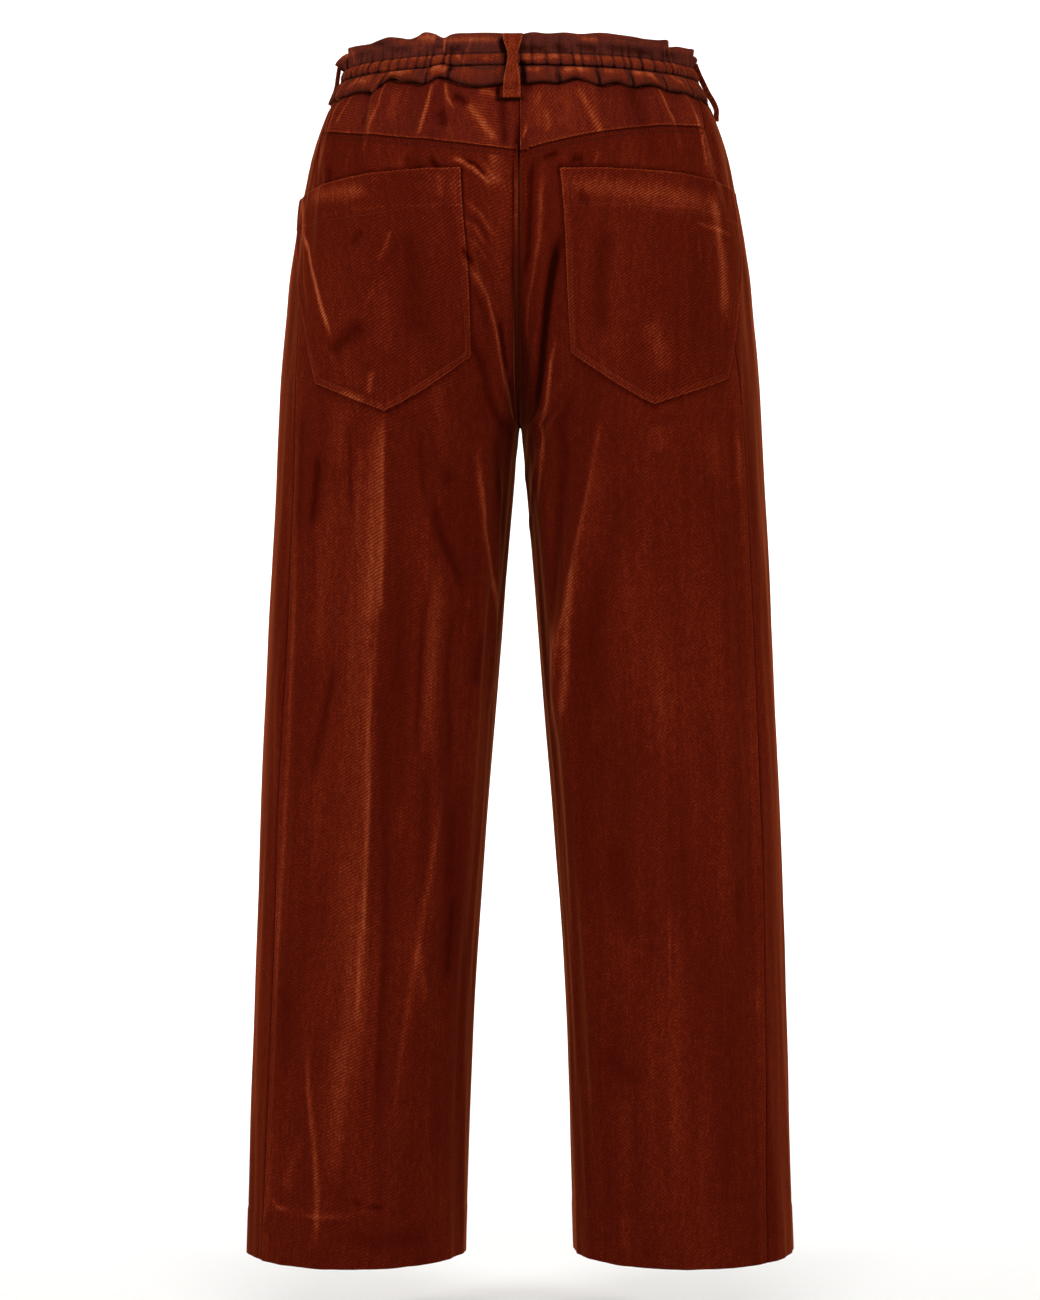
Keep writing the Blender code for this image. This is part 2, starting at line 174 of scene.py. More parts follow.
def from_centre_seam(turn, z, degrees):
    """0 at a centre seam and 1 from some degrees away. Below the fork there is no such seam, so it is 1."""
    return np.where(z > CROTCH, ease(np.minimum(turn, 360 - turn) / degrees), 1)


def outward(turn, z):
    """The level outward direction, square to the section."""
    turn, z = np.broadcast_arrays(np.asarray(turn, float), np.asarray(z, float))
    before, after = (np.where(z > CROTCH, np.clip(near, 0, 360), near) for near in (turn - 0.5, turn + 0.5))
    along = form(after, z) - form(before, z)
    # at a centre seam both halves move straight back or forward, so that they stay together
    level = from_centre_seam(turn, z, 7)
    away = np.stack([-along[..., 1] * level, along[..., 0], 0 * z], -1)
    return away / np.maximum(np.linalg.norm(away, axis=-1, keepdims=True), 1e-9)


print("seat at its fullest:", form(90, -185).round(1), "mm")

# %% [markdown]
# ## Folds
# Velvet is heavy, so it hangs in long soft folds, and only where it is drawn in or dragged do they turn
# sharp. A cloth simulation could find folds, but not these ones. So each fold is placed as a line on the form
# with a width and a height. The broad ones are those of the imported model. The finer ones follow the
# photograph, and similar ones go on the front, which it doesn't show.

# %% Broad folds
# side, top, turn there, foot, turn there, width in degrees, height (negative for a trough)
FOLDS = [
    ("left", -10, 132, -95, 136, 13, 2.8), ("left", -10, 93, -110, 90, 13, 3.4),
    ("left", -10, 70, -90, 73, 13, -2.2), ("left", -10, 47, -115, 57, 13, 3.4),
    ("right", -10, 38, -110, 44, 13, 2.6), ("right", -10, 78, -150, 112, 14, 3.4),
    ("right", -10, 112, -150, 134, 13, 2.8), ("both", -10, 212, -190, 206, 17, 3.4),
    ("both", -10, 250, -240, 252, 18, 3.8), ("both", -10, 292, -250, 286, 18, 3.6),
    ("both", -10, 330, -200, 318, 17, 2.8), ("left", -120, 38, -310, 22, 14, 4.2),
    ("left", -280, 97, -970, 84, 17, 5.0), ("left", -300, 76, -920, 52, 16, 3.6),
    ("left", -310, 120, -820, 114, 16, -3.2), ("left", -720, 112, -1000, 107, 15, 3.0),
    ("right", -260, 76, -560, 22, 15, 5.2), ("right", -440, 34, -920, 44, 16, 4.0),
    ("right", -340, 94, -820, 76, 17, -3.8), ("right", -350, 118, -960, 106, 17, 3.2),
    ("both", -240, 270, -920, 268, 20, 5.0), ("both", -320, 228, -820, 228, 18, -3.4),
    ("both", -330, 312, -780, 316, 18, -3.4),
]
FOLD_FADE = 0.25  # share of a fold's length over which it comes and goes
SEAM_CLEAR = 16.0  # degrees from a centre seam within which folds fade out


def broad_folds(side, turn, z):
    """How far the broad folds stand out, in mm."""
    total = np.zeros(np.broadcast(turn, z).shape)
    for which, top, top_turn, foot, foot_turn, width, height in FOLDS:
        if which not in (side, "both"):
            continue
        along = (top - z) / (top - foot)
        across = np.abs(turn - top_turn - (foot_turn - top_turn) * along) / width
        ends = ease(along / FOLD_FADE) * ease((1 - along) / FOLD_FADE)
        total += np.where(across < 1, height * ends * 0.5 * (1 + np.cos(math.pi * np.minimum(across, 1))), 0)
    return total * from_centre_seam(turn, z, SEAM_CLEAR)


# %% Fine folds and creases
# side, width in mm (or the widths towards the smaller and the larger turns), height in mm, then the line as
# turn, height, turn, height ... from top to foot
CREASES = [
    # under the tucks of the waistband
    ("left", 3.4, 1.7, (130, -22, 132.5, -40, 134, -62)),
    ("left", 3.6, 1.9, (95, -18, 93, -40, 91.5, -62)),
    ("left", 7.0, -1.4, (102, -20, 100, -48, 98, -74)),
    ("left", 3.2, 1.8, (51, -17, 55, -38, 60, -62)),
    ("left", 3.2, 1.7, (45, -18, 42, -40, 38, -70)),
    ("left", 7.0, -1.5, (48, -30, 48, -48, 49, -72)),
    ("left", 6.0, 1.2, (20, -24, 22, -44, 14, -76)),
    ("left", 4.0, 1.1, (151, -23, 146, -44, 140, -70)),
    ("right", 2.6, 1.6, (12, -30, 5, -48, 0, -70)),
    ("right", 5.5, 1.5, (42, -22, 44, -42, 49, -66)),
    ("right", 5.0, 1.4, (26, -24, 27, -40, 24, -60)),
    ("right", 4.2, 1.7, (88, -24, 94, -42, 103, -78)),
    ("right", 3.0, 1.9, (115, -22, 121, -52, 125, -92)),
    ("right", 8.0, -1.3, (70, -24, 76, -50, 84, -90)),
    # at the centre back, under the yoke
    ("left", 2.4, -2.0, (21, -81, 16.5, -90, 11.5, -98)),
    ("left", 3.2, 1.5, (23.5, -83, 18.5, -94, 12.5, -104)),
    ("left", 3.8, 0.8, (30, -120, 20, -140, 12, -158)),
    ("left", 3.4, 0.8, (31, -134, 21, -155, 12, -176)),
    ("left", 3.4, 0.7, (32, -149, 23, -171, 13, -193)),
    ("left", 3.8, 0.9, (34, -165, 25, -190, 15, -214)),
    ("left", 4.2, 0.8, (35, -185, 27, -212, 18, -240)),
    ("left", 5.0, 1.0, (40, -250, 28, -275, 14, -298)),
    ("left", 4.4, -1.2, (20, -205, 17, -240, 9, -276)),
    ("right", 5.5, 1.0, (12, -92, 13, -130, 10, -170)),
    ("right", 5.5, -0.9, (19, -105, 19, -150, 16, -200)),
    ("right", 4.5, 1.1, (17, -150, 19, -200, 13, -262)),
    ("right", 5.0, 1.0, (38, -262, 20, -305, -2, -344)),
    ("right", 4.2, 1.2, (44, -285, 24, -330, -2, -388)),
    # on the pockets
    ("left", 3.2, 1.1, (152, -112, 143, -146, 140, -178, 135, -204)),
    ("left", 2.6, 0.9, (84, -150, 87, -163, 91, -176)),
    ("left", 3.6, 0.6, (104, -204, 104, -228, 101, -252)),
    ("left", 5.0, 0.7, (120, -220, 112, -250, 105, -272)),
    ("right", 5.0, 0.6, (60, -130, 70, -165, 76, -205)),
    ("right", 5.0, 0.7, (118, -120, 122, -160, 126, -205)),
    # the long folds of the legs
    ("left", (2.4, 17), 2.6, (97, -340, 95.5, -420, 91.5, -560, 87.6, -756, 88, -860)),
    ("left", (9, 3.0), 1.5, (72, -380, 66, -480, 58, -600, 52, -760)),
    ("left", 8.0, -1.2, (84, -360, 80, -480, 74, -620, 70, -800)),
    ("left", 6.5, 0.9, (121, -420, 118, -560, 117, -700)),
    ("left", 7.0, 0.8, (40, -330, 34, -450, 30, -590)),
    ("left", (2.6, 9), 1.8, (27, -335, 21, -430, 13, -530)),
    ("left", 7.0, 1.1, (111, -820, 109, -900, 108, -972)),
    ("left", 6.0, 0.8, (76, -780, 72, -870, 70, -972)),
    ("left", 6.0, 0.7, (100, -640, 97, -760, 99, -900)),
    ("right", (3.4, 10), 2.2, (67, -330, 52, -402, 41, -450, 29, -500)),
    ("right", 8.0, -1.3, (76, -350, 62, -430, 50, -500)),
    ("right", 6.0, 1.0, (33, -460, 37, -600, 40, -760)),
    ("right", 7.0, 1.0, (88, -480, 84, -640, 80, -800)),
    ("right", 7.0, 0.9, (120, -430, 116, -600, 112, -790)),
    ("right", 6.0, 0.8, (62, -640, 60, -780, 58, -950)),
    ("right", 7.0, 0.8, (104, -760, 100, -860, 98, -972)),
    # wrinkles above the turned-up hem
    ("left", 2.4, 0.7, (120, -925, 104, -929, 88, -927)),
    ("left", 2.2, -0.6, (118, -934, 98, -936, 74, -932)),
    ("right", 2.2, -0.5, (96, -930, 80, -934, 62, -932)),
    # the front, under the elastic and at the fly
    ("both", 4.0, 1.6, (196, -22, 194, -60, 190, -120)),
    ("both", 4.0, 1.5, (222, -21, 220, -58, 214, -110)),
    ("both", 4.2, 1.7, (248, -22, 247, -66, 242, -150)),
    ("both", 4.0, 1.5, (270, -20, 271, -62, 270, -120)),
    ("both", 4.2, 1.6, (296, -22, 294, -66, 288, -140)),
    ("both", 4.0, 1.5, (322, -21, 318, -60, 308, -120)),
    ("both", 3.8, 1.3, (344, -22, 341, -52, 334, -96)),
    ("both", 7.0, -1.2, (234, -26, 232, -70, 228, -120)),
    ("both", 7.0, -1.2, (283, -26, 281, -70, 279, -125)),
    ("left", 4.6, 1.0, (330, -190, 340, -235, 352, -276)),
    ("left", 4.6, 0.9, (324, -225, 338, -262, 354, -296)),
    ("right", 4.6, 1.0, (334, -200, 344, -240, 354, -280)),
    ("right", 4.8, 1.0, (320, -238, 336, -272, 353, -304)),
    ("both", 8.0, 1.3, (262, -330, 264, -480, 262, -700)),
    ("both", 8.0, 1.0, (294, -360, 297, -540, 292, -760)),
    ("left", 7.5, 1.1, (240, -520, 242, -700, 240, -900)),
    ("right", 7.5, 1.1, (246, -480, 244, -650, 247, -880)),
    ("left", 6.0, 1.0, (318, -420, 322, -580, 320, -760)),
    ("right", 6.0, 1.0, (314, -450, 319, -600, 316, -800)),
    ("both", 6.0, 0.9, (206, -360, 205, -520, 207, -720)),
    ("both", 7.0, -1.0, (186, -300, 187, -520, 186, -780)),
]
CREASE_FADE = 0.22  # share of a line's length over which it comes and goes
FROM_SEAM_FADE = 0.18
WAIST_FOOT = -40  # a line that starts above this starts in the waist seam
LINE_REACH = 2.6  # widths away from a line, from where it has died away
# how many degrees and millimetres one wave of the general unevenness is long, its height and its start
UNEVEN = [(31, 640, 0.55, 0.4), (19, 410, 0.40, 2.1), (12.5, 300, 0.26, 4.4), (8.1, 190, 0.16, 1.3)]


def along_lines(table, side, turn, z, top_fade=0.10, per_degree=MM_PER_DEGREE):
    """The sum of a table's lines: each has its height on the line and dies away beside it.

    Top fade is the share of its length that a line is already into its fade at the top.
    """
    turn, z = np.broadcast_arrays(np.asarray(turn, float), np.asarray(z, float))
    total = np.zeros(turn.shape)
    for which, width, height, line in table:
        if which not in (side, "both"):
            continue
        points = np.array(line, float).reshape(-1, 2) * (per_degree, 1)
        smaller_way, larger_way = width if isinstance(width, tuple) else (width, width)
        reach = LINE_REACH * max(smaller_way, larger_way)
        low, high = points.min(0) - reach, points.max(0) + reach
        at = np.stack([turn * per_degree, z], -1)
        near = ((at > low) & (at < high)).all(-1)
        if not near.any():
            continue
        at = at[near]
        lengths = np.linalg.norm(np.diff(points, axis=0), axis=1)
        starts = np.concatenate([[0], np.cumsum(lengths)])
        nearest_yet, along, beside = np.full(len(at), 1e9), np.zeros(len(at)), np.zeros(len(at))
        for k, length in enumerate(lengths):
            step = (points[k + 1] - points[k]) / length
            from_start = at - points[k]
            t = np.clip(from_start @ step, 0, length)
            apart = np.linalg.norm(from_start - t[:, None] * step, axis=1)
            nearer = apart < nearest_yet
            along = np.where(nearer, starts[k] + t, along)
            beside = np.where(nearer, step[0] * from_start[:, 1] - step[1] * from_start[:, 0], beside)
            nearest_yet = np.minimum(nearest_yet, apart)
        wide = np.where(beside > 0, larger_way, smaller_way)
        share = along / starts[-1]
        # what starts in the waist seam is sharpest there, so its top doesn't fade
        start = FROM_SEAM_FADE if line[1] > WAIST_FOOT else top_fade
        ends = ease((share + start) / CREASE_FADE) * ease((1 - share) / CREASE_FADE)
        total[near] += height * ends * np.exp(-((nearest_yet / wide) ** 2))
    return total


def unevenness(side, turn, z):
    """Slow waves all over the cloth, which hangs a little unevenly everywhere below the waist."""
    total = 0.0
    shift = 0.0 if side == "left" else 2.6
    for degrees, length, height, start in UNEVEN:
        lean = 1.3 * np.sin(z / length * 2 * math.pi + start * 2 + shift)
        total = total + height * np.sin(turn * 2 * math.pi / degrees + start + shift + lean)
    return total * ease((-z - 25) / 60)


print("creases placed:", len(CREASES))

# %% [markdown]
# The colour keeps marks too. Some are the pile, pressed and light along worn creases and edges. Many are
# painted light and shade: painted highlights on ridges and edges, and painted shade and shadow in hollows,
# grooves and under the parts that stand over others. These marks could be left to a noise, but then they
# would miss the folds that made them. So they are drawn like the creases, and each point of the cloth carries
# their sum as an attribute for its colour.
# Most were read off the photograph. They stay places in its picture, and a function finds the cloth
# that is seen there.

# %% From the photograph to the form
PICTURE_MIDDLE = (520, 650)  # pixels from its left and top edges, half of its width and height
PIXEL = PICTURE_HEIGHT / 2 / PICTURE_MIDDLE[1]  # metres, at the middle of the trousers
TURN_STEP, HEIGHT_STEP = 1.5, -5
SEEN_TURNS = np.arange(0, 200.1, TURN_STEP)
SEEN_HEIGHTS = np.arange(28, HEM - 0.1, HEIGHT_STEP)
NEARER = 5 * MM  # pixels for each mm of depth: of two places seen together, the nearer one counts


def seen_from_camera(side):
    """Where the crossings of a net on one half are seen in the photograph, and how near each is."""
    turn, z = np.meshgrid(SEEN_TURNS, SEEN_HEIGHTS, indexing="ij")
    point = form(turn, z) + outward(turn, z) * broad_folds(side, turn, z)[..., None]
    x, y, z = np.moveaxis(point * ((-1, 1, 1) if side == "right" else 1), -1, 0)
    scale = CAMERA_AWAY / (CAMERA_AWAY - y * MM) / PIXEL
    seen_x, seen_y = PICTURE_MIDDLE[0] - x * MM * scale, PICTURE_MIDDLE[1] - (z * MM - CAMERA_HEIGHT) * scale
    return np.stack([seen_x, seen_y], -1), y


SEEN = {side: seen_from_camera(side) for side in ("left", "right")}


def on_form(side, x, y):
    """The turn and the height of the cloth that is seen at a place in the photograph."""
    seen, near = SEEN[side]
    apart = np.hypot(seen[..., 0] - x, seen[..., 1] - y) - NEARER * near
    i, j = np.unravel_index(np.argmin(apart), apart.shape)
    i, j = min(max(i, 1), len(SEEN_TURNS) - 2), min(max(j, 1), len(SEEN_HEIGHTS) - 2)
    # from the nearest crossing, one step by the slopes of the net
    slopes = np.stack([(seen[i + 1, j] - seen[i - 1, j]) / (2 * TURN_STEP),
                       (seen[i, j + 1] - seen[i, j - 1]) / (2 * HEIGHT_STEP)], -1)
    step = np.clip(np.linalg.solve(slopes, (x, y) - seen[i, j]), (-4, -8), (4, 8))
    return round(SEEN_TURNS[i] + step[0], 1), round(SEEN_HEIGHTS[j] + step[1])


def from_photo(find, line, *side):
    """A line of pixels as a line on the cloth. Find is the function that finds each place."""
    return [value for x, y in zip(line[::2], line[1::2]) for value in find(*side, x, y)]


# %% Marks of the pile, and painted light and shade
# side, width or widths in mm, how much lighter (or darker, if negative) in mark units, and then the line in
# pixels of the photograph. Some are pressed pile, and many are painted highlights on ridges and edges and
# painted shade in hollows and creases
PHOTO_MARKS = [
    ("left", 1.7, 30, (432, 86, 428, 105, 420, 130, 414, 137)),
    ("left", 1.3, 24, (385, 84, 378, 104, 368, 133, 363, 156)),
    ("left", 1.3, 24, (352, 96, 342, 112, 334, 127)),
    ("left", (1.3, 1.7), 22, (446, 84, 448, 98, 455, 110)),
    ("left", 5.9, -16, (440, 108, 444, 118, 442, 128)), ("left", 3.8, -24, (456, 97, 463, 100, 471, 104)),
    ("left", (4.6, 3.6), 19, (468, 104, 480, 120, 492, 135, 499, 143)),
    ("left", 2.9, 18, (481, 91, 490, 92, 497, 94)), ("left", 6.7, 8, (396, 94, 392, 108, 388, 122)),
    ("left", 4.2, -12, (374, 98, 367, 112, 360, 128)), ("left", 4.2, -16, (503, 104, 504, 125, 505, 150)),
    ("right", (1.3, 1.7), 20, (527.5, 124, 523, 136, 519, 147)),
    ("right", 3.4, 13, (545, 108, 548, 120, 548, 134)), ("right", 3.4, 17, (580, 91, 592, 114, 603, 139)),
    ("right", 6.7, 6, (535, 92, 538, 110, 540, 130)), ("right", 2.5, 27, (660, 91, 668, 111, 677, 125)),
    ("right", 1.7, 27, (680, 81, 690, 105, 699, 128, 704, 150, 708, 176)),
    ("right", 10.1, -6, (632, 96, 638, 112, 642, 128)),
    ("left", (2.8, 2.3), 30, (451, 158, 466, 163, 480, 173, 492, 187)),
    ("left", 1.5, -34, (463, 158.5, 476, 165, 487, 178)), ("left", 7.6, 14, (490, 152, 493, 168, 495, 190)),
    ("left", 2.9, -26, (429, 158, 434, 163, 440, 168)), ("left", 2.1, 12, (464, 200, 480, 213, 494, 238)),
    ("left", 1.7, -12, (464, 212, 480, 224, 492, 248)), ("left", 1.8, 12, (463, 221, 474, 228, 486, 246)),
    ("left", 1.7, 9, (463, 237, 478, 246, 490, 264)), ("left", 2.9, -24, (461, 248, 467, 256, 474, 264)),
    ("left", 2.9, 20, (464, 262, 477, 277, 488, 297, 496, 330, 503, 375, 509, 410)),
    ("left", 4.2, -12, (472, 285, 482, 308, 488, 330)), ("left", 2.5, -28, (500, 318, 503, 345, 507, 375)),
    ("left", 5, -16, (468, 335, 480, 362, 492, 405, 500, 450)),
    ("left", 5.9, 8, (440, 375, 436, 400, 440, 430, 446, 465)),
    ("left", 2.1, 9, (352, 146, 347, 160, 343, 176)), ("left", 2.1, 9, (406, 148, 401, 160, 398, 172)),
    ("left", 4.2, -16, (331, 166, 330, 176, 329, 184)), ("left", 4.2, -10, (403, 158, 415, 162, 426, 166)),
    ("right", 1.3, 14, (518, 172, 518, 210, 519, 250)),
    ("right", (4.2, 3.4), -22, (537, 155, 531, 175, 530, 205, 528, 250, 522, 290)),
    ("right", 2.5, -22, (542, 158, 551, 155, 560, 152)),
    ("right", 3.4, -22, (570, 160, 577, 159, 584, 158)),
    ("right", 3.4, 15, (545, 168, 541, 190, 540, 235, 534, 270, 528, 300, 526, 330, 530, 362)),
    ("right", 5.4, -56, (560, 232, 553, 268, 548, 300, 544, 340, 539, 390, 532, 430)),
    ("right", (1.7, 2.5), 30, (556, 335, 550, 365, 547, 400, 543, 440, 540, 480, 537, 525)),
    ("right", 6.7, -18, (572, 385, 565, 450, 560, 520, 555, 590, 553, 645)),
    ("right", 2.5, 10, (600, 150, 596, 158, 592, 166)),
    ("left", (1.8, 2.2), 36, (307, 228, 312, 250, 318, 280, 325, 310, 335, 344)),
    ("left", 5, 12, (440, 172, 440, 186, 441, 200)), ("left", 2.5, 10, (453, 172, 454, 188, 455, 206)),
    ("left", 1.3, 20, (392, 228, 386, 246, 377, 264)), ("left", 1, 16, (375, 288, 372, 295, 368, 304)),
    ("left", 4.2, -8, (398, 236, 394, 252, 390, 270)), ("left", 10.9, -9, (408, 226, 412, 280, 414, 350)),
    ("left", 3.4, -14, (364, 230, 359, 238, 353, 246)),
    ("left", 6.7, -18, (368, 326, 352, 334, 340, 345, 335, 358)),
    ("left", 8.4, 5, (385, 275, 384, 320, 382, 356)), ("left", 2.5, 20, (373, 370, 371, 382, 369, 396)),
    ("left", 2.5, 14, (340, 392, 352, 396, 366, 402)),
    ("right", (6.7, 5.9), 20, (706, 188, 714, 215, 719, 250, 722, 290, 724, 330)),
    ("right", 4.2, -12, (578, 192, 583, 198, 590, 204)),
    ("right", 10.1, -13, (606, 226, 601, 270, 600, 310, 608, 340)),
    ("right", 8.4, 10, (648, 318, 658, 345, 664, 375)),
    ("right", 1.7, 14, (692, 221, 704, 227, 718, 231, 730, 238)),
    ("right", 1.3, 9, (695, 228, 697, 246, 699, 266)),
    ("left", 3.4, -30, (318, 452, 317, 475, 315, 500, 312, 530)),
    ("left", 7.6, -12, (302, 405, 302, 450, 300, 500, 300, 545)),
    ("left", (3.4, 4.2), 13, (297, 545, 295, 600, 291, 680, 288, 760, 284, 840, 280, 900, 276, 1000,
                              273, 1062)),
    ("left", 11.8, 9, (332, 480, 326, 540, 320, 600, 313, 676)),
    ("left", 10.1, 9, (345, 398, 340, 430, 338, 470)),
    ("left", 4.2, -20, (336, 664, 326, 708, 319, 744, 312, 784)),
    ("left", (1, 10.1), 30, (384, 412, 384, 470, 384, 540, 382, 590, 376, 640)),
    ("left", (1.3, 1.8), 24, (381, 600, 375, 650, 371, 700, 369, 760, 368, 830, 367, 880, 362, 940,
                              358, 1000, 353, 1080)),
    ("left", 1.7, -14, (349, 420, 350, 470, 351, 525)), ("left", 3.4, 8, (361, 440, 358, 500, 356, 560)),
    ("left", (6.7, 2.5), -14, (384, 640, 380, 700, 382, 780, 384, 860, 384, 960, 378, 1060, 379, 1165)),
    ("left", 8.4, -6, (400, 560, 402, 640, 396, 720)), ("left", 1.8, -18, (420, 430, 421, 465, 424, 500)),
    ("left", 5, -22, (432, 500, 440, 535, 453, 562, 464, 592)),
    ("left", 5, -16, (440, 482, 448, 477, 456, 474)),
    ("left", 1.8, -18, (430, 575, 424, 610, 421, 650, 418, 700, 413, 770)),
    ("left", 5.9, 13, (436, 560, 436, 600, 434, 650, 429, 700, 425, 780)),
    ("left", 3.8, -13, (454, 610, 446, 670, 448, 720, 453, 770)),
    ("left", 1.3, 10, (472, 580, 464, 640, 457, 700)), ("left", 5, -20, (482, 632, 477, 660, 474, 690)),
    ("left", (1.7, 4.2), 30, (478, 440, 480, 480, 485, 530, 492, 570, 497, 620, 497, 680)),
    ("left", 5.9, -30, (496, 430, 498, 480, 502, 530, 505, 565)),
    ("left", 2.9, 16, (444, 780, 437, 825, 430, 870, 423, 915, 414, 970, 403, 1040, 396, 1100, 391, 1150)),
    ("left", 6.7, -12, (452, 800, 452, 850, 450, 900)), ("left", 5, 8, (402, 805, 401, 820, 400, 838)),
    ("left", 5.9, -22, (454, 890, 449, 940, 446, 985)),
    ("left", 4.2, 12, (419, 940, 419, 955, 424, 985, 425, 1010)),
    ("left", 11.8, -6, (430, 1030, 436, 1080, 440, 1160)),
    ("left", 11.8, 12, (343, 1030, 337, 1100, 332, 1195)),
    ("left", 2.9, 24, (307, 1040, 308, 1090, 314, 1140, 318, 1190, 317, 1262)),
    ("left", 8.4, -8, (290, 980, 288, 1030, 286, 1080)),
    ("left", 6.7, 10, (300, 1135, 293, 1165, 283, 1196)),
    ("left", 1.3, 32, (270, 1197, 276, 1206, 290, 1211, 318, 1215)),
    ("left", 1.3, 18, (300, 1214, 325, 1217, 352, 1215, 380, 1212)),
    ("left", 1, -24, (350, 1201, 364, 1205, 375, 1207, 388, 1209)),
    ("left", 3.4, -14, (269, 1210, 268, 1222, 268, 1236)),
    ("left", 7.6, -9, (344, 1236, 380, 1240, 430, 1236)),
    ("right", 2.1, 18, (570, 590, 560, 630, 556, 660, 555, 690)),
    ("right", 10.1, -5, (700, 700, 708, 750, 712, 800)), ("right", 3.4, 12, (736, 430, 738, 460, 738, 492)),
    ("right", 7.6, 10, (658, 425, 660, 440, 660, 456)), ("right", 7.6, 9, (712, 428, 713, 455, 713, 482)),
    ("right", 1.7, -6, (627, 440, 630, 520, 632, 600)), ("right", 1.7, 7, (655, 560, 658, 620, 660, 690)),
    ("right", 5, 8, (597, 705, 597, 725, 596, 745)), ("right", 3.4, 8, (648, 715, 650, 740, 650, 760)),
    ("right", 10.1, -10, (615, 840, 622, 890, 632, 950)),
    ("right", 7.6, 8, (672, 890, 677, 960, 678, 1040, 677, 1110, 679, 1190)),
    ("right", 1.3, 12, (668, 900, 670, 955, 672, 1015)),
    ("right", 7.6, -9, (604, 1050, 622, 1070, 645, 1082)),
    ("right", 5, -10, (741, 875, 739, 900, 738, 925)), ("right", 4.2, 9, (590, 1078, 590, 1092, 591, 1105)),
    ("right", 4.2, 7, (624, 1215, 625, 1235, 627, 1255)),
    ("right", 2.5, 12, (757, 985, 757, 1000, 758, 1018)),
]
PILE_AND_LIGHT_MARKS = [(side, width, strength, from_photo(on_form, line, side))
              for side, width, strength, line in PHOTO_MARKS]
# more with turns and heights: painted shadows of the back belt loop and painted shade in the centre back
# seam, painted highlights on the pockets' mouths, and painted highlights along the folds and broad lighter
# stripes down the legs
PILE_AND_LIGHT_MARKS += [
    ("right", 2.4, -60, (2.2, -16, 2.2, -34)), ("left", 1.8, -50, (12.6, -16, 12.8, -34)),
    ("left", 1.6, -44, (13, -34, 6, -34.5, -3, -34)),
    ("left", 3.2, -70, (1.2, -56, 1.6, -96, 2.2, -130, 2.6, -164, 2.8, -210, 3, -256, 9, -294)),
    ("left", 3.4, -30, (4.5, -150, 4.8, -210, 5.2, -256, 9, -294)),
    ("left", 7.5, 16, (146.6, -106, 125.7, -106, 112.1, -107, 92, -107)),
    ("left", 5, 22, (160, -104, 151, -119, 144.8, -139)),
    ("right", 9.5, 15, (22, -103, 47.9, -106, 81.2, -110, 108.1, -114, 132, -118)),
    ("right", (3, 2.4), 20, (69.8, -290, 63.3, -340, 56.2, -380, 50.2, -408)),
    ("right", (3.4, 4), 28, (52.9, -390, 46.7, -436, 42.1, -468, 37.8, -508, 30.8, -550)),
    ("left", 12, 13, (171, -40, 169, -300, 167, -620, 167, -970)),
    ("left", 45, 6, (98, -320, 96, -420, 96, -560, 95, -720, 95, -880)),
    ("right", 45, 4, (95, -300, 92, -400, 90, -560)),
    # made up alike for the front: painted highlights along its creases, and painted shade between them and at
    # the fly
    ("both", 2, 18, (196, -24, 194, -60, 190, -110)), ("left", 2, 18, (248, -24, 247, -66, 242, -140)),
    ("right", 2.2, 16, (254, -24, 251, -60, 249, -112)), ("both", 2.2, 16, (296, -24, 294, -66, 288, -130)),
    ("both", 2, 16, (344, -24, 341, -52, 334, -90)), ("both", 5, -14, (234, -30, 232, -70, 228, -110)),
    ("both", 5, -12, (283, -30, 281, -70, 279, -120)), ("left", 2.4, 14, (330, -190, 340, -235, 352, -276)),
    ("right", 2.4, 14, (334, -200, 344, -240, 354, -280)),
    ("both", 3, -34, (358, -60, 357.6, -130, 356.6, -210, 355, -285)),
    ("left", (2, 12), 18, (262, -330, 264, -480, 262, -700)),
    ("right", (2, 11), 15, (268, -390, 266, -520, 267, -800)),
    ("left", 10, -12, (282, -340, 284, -520, 280, -760)),
    ("right", 9, -12, (290, -360, 288, -560, 291, -840)),
    ("left", 9, 12, (240, -520, 242, -700, 240, -900)), ("right", 9, 12, (246, -480, 244, -650, 247, -880)),
    ("both", 8, -10, (226, -330, 228, -600, 226, -820)),
    ("left", 2.4, 14, (318, -420, 322, -580, 320, -760)),
    ("right", 2.4, 14, (314, -450, 319, -600, 316, -800)),
    ("left", 2.4, 16, (206, -360, 205, -520, 207, -720)),
    ("right", 2.4, 14, (212, -420, 210, -560, 213, -860)),
    ("left", 8, -12, (334, -420, 336, -640, 332, -880)),
    ("right", 8, -12, (327, -380, 331, -560, 330, -760)),
]
MARK_UNIT = 1 / 150  # a share of the colour ramp
ON_SEAT = 1.7  # the marks count more on the seat and its pockets
ON_LEG = 1.15  # than they do on the legs
SEAT_FOOT = -240.0
LEG_TOP = -330.0
MARK_FADE = 0.04
# painted highlight on raised creases and painted shade in sunk ones
CREASE_LIGHT_AND_SHADE = 0.035  # lighter by this much for each mm that a crease stands up


def pile_and_light_marks(side, turn, z):
    """The sum of the marks, of the pile and of painted light and shade, as a share of the colour ramp."""
    strength = ON_SEAT + (ON_LEG - ON_SEAT) * ease((SEAT_FOOT - z) / (SEAT_FOOT - LEG_TOP))
    return MARK_UNIT * strength * along_lines(PILE_AND_LIGHT_MARKS, side, turn, z, MARK_FADE)


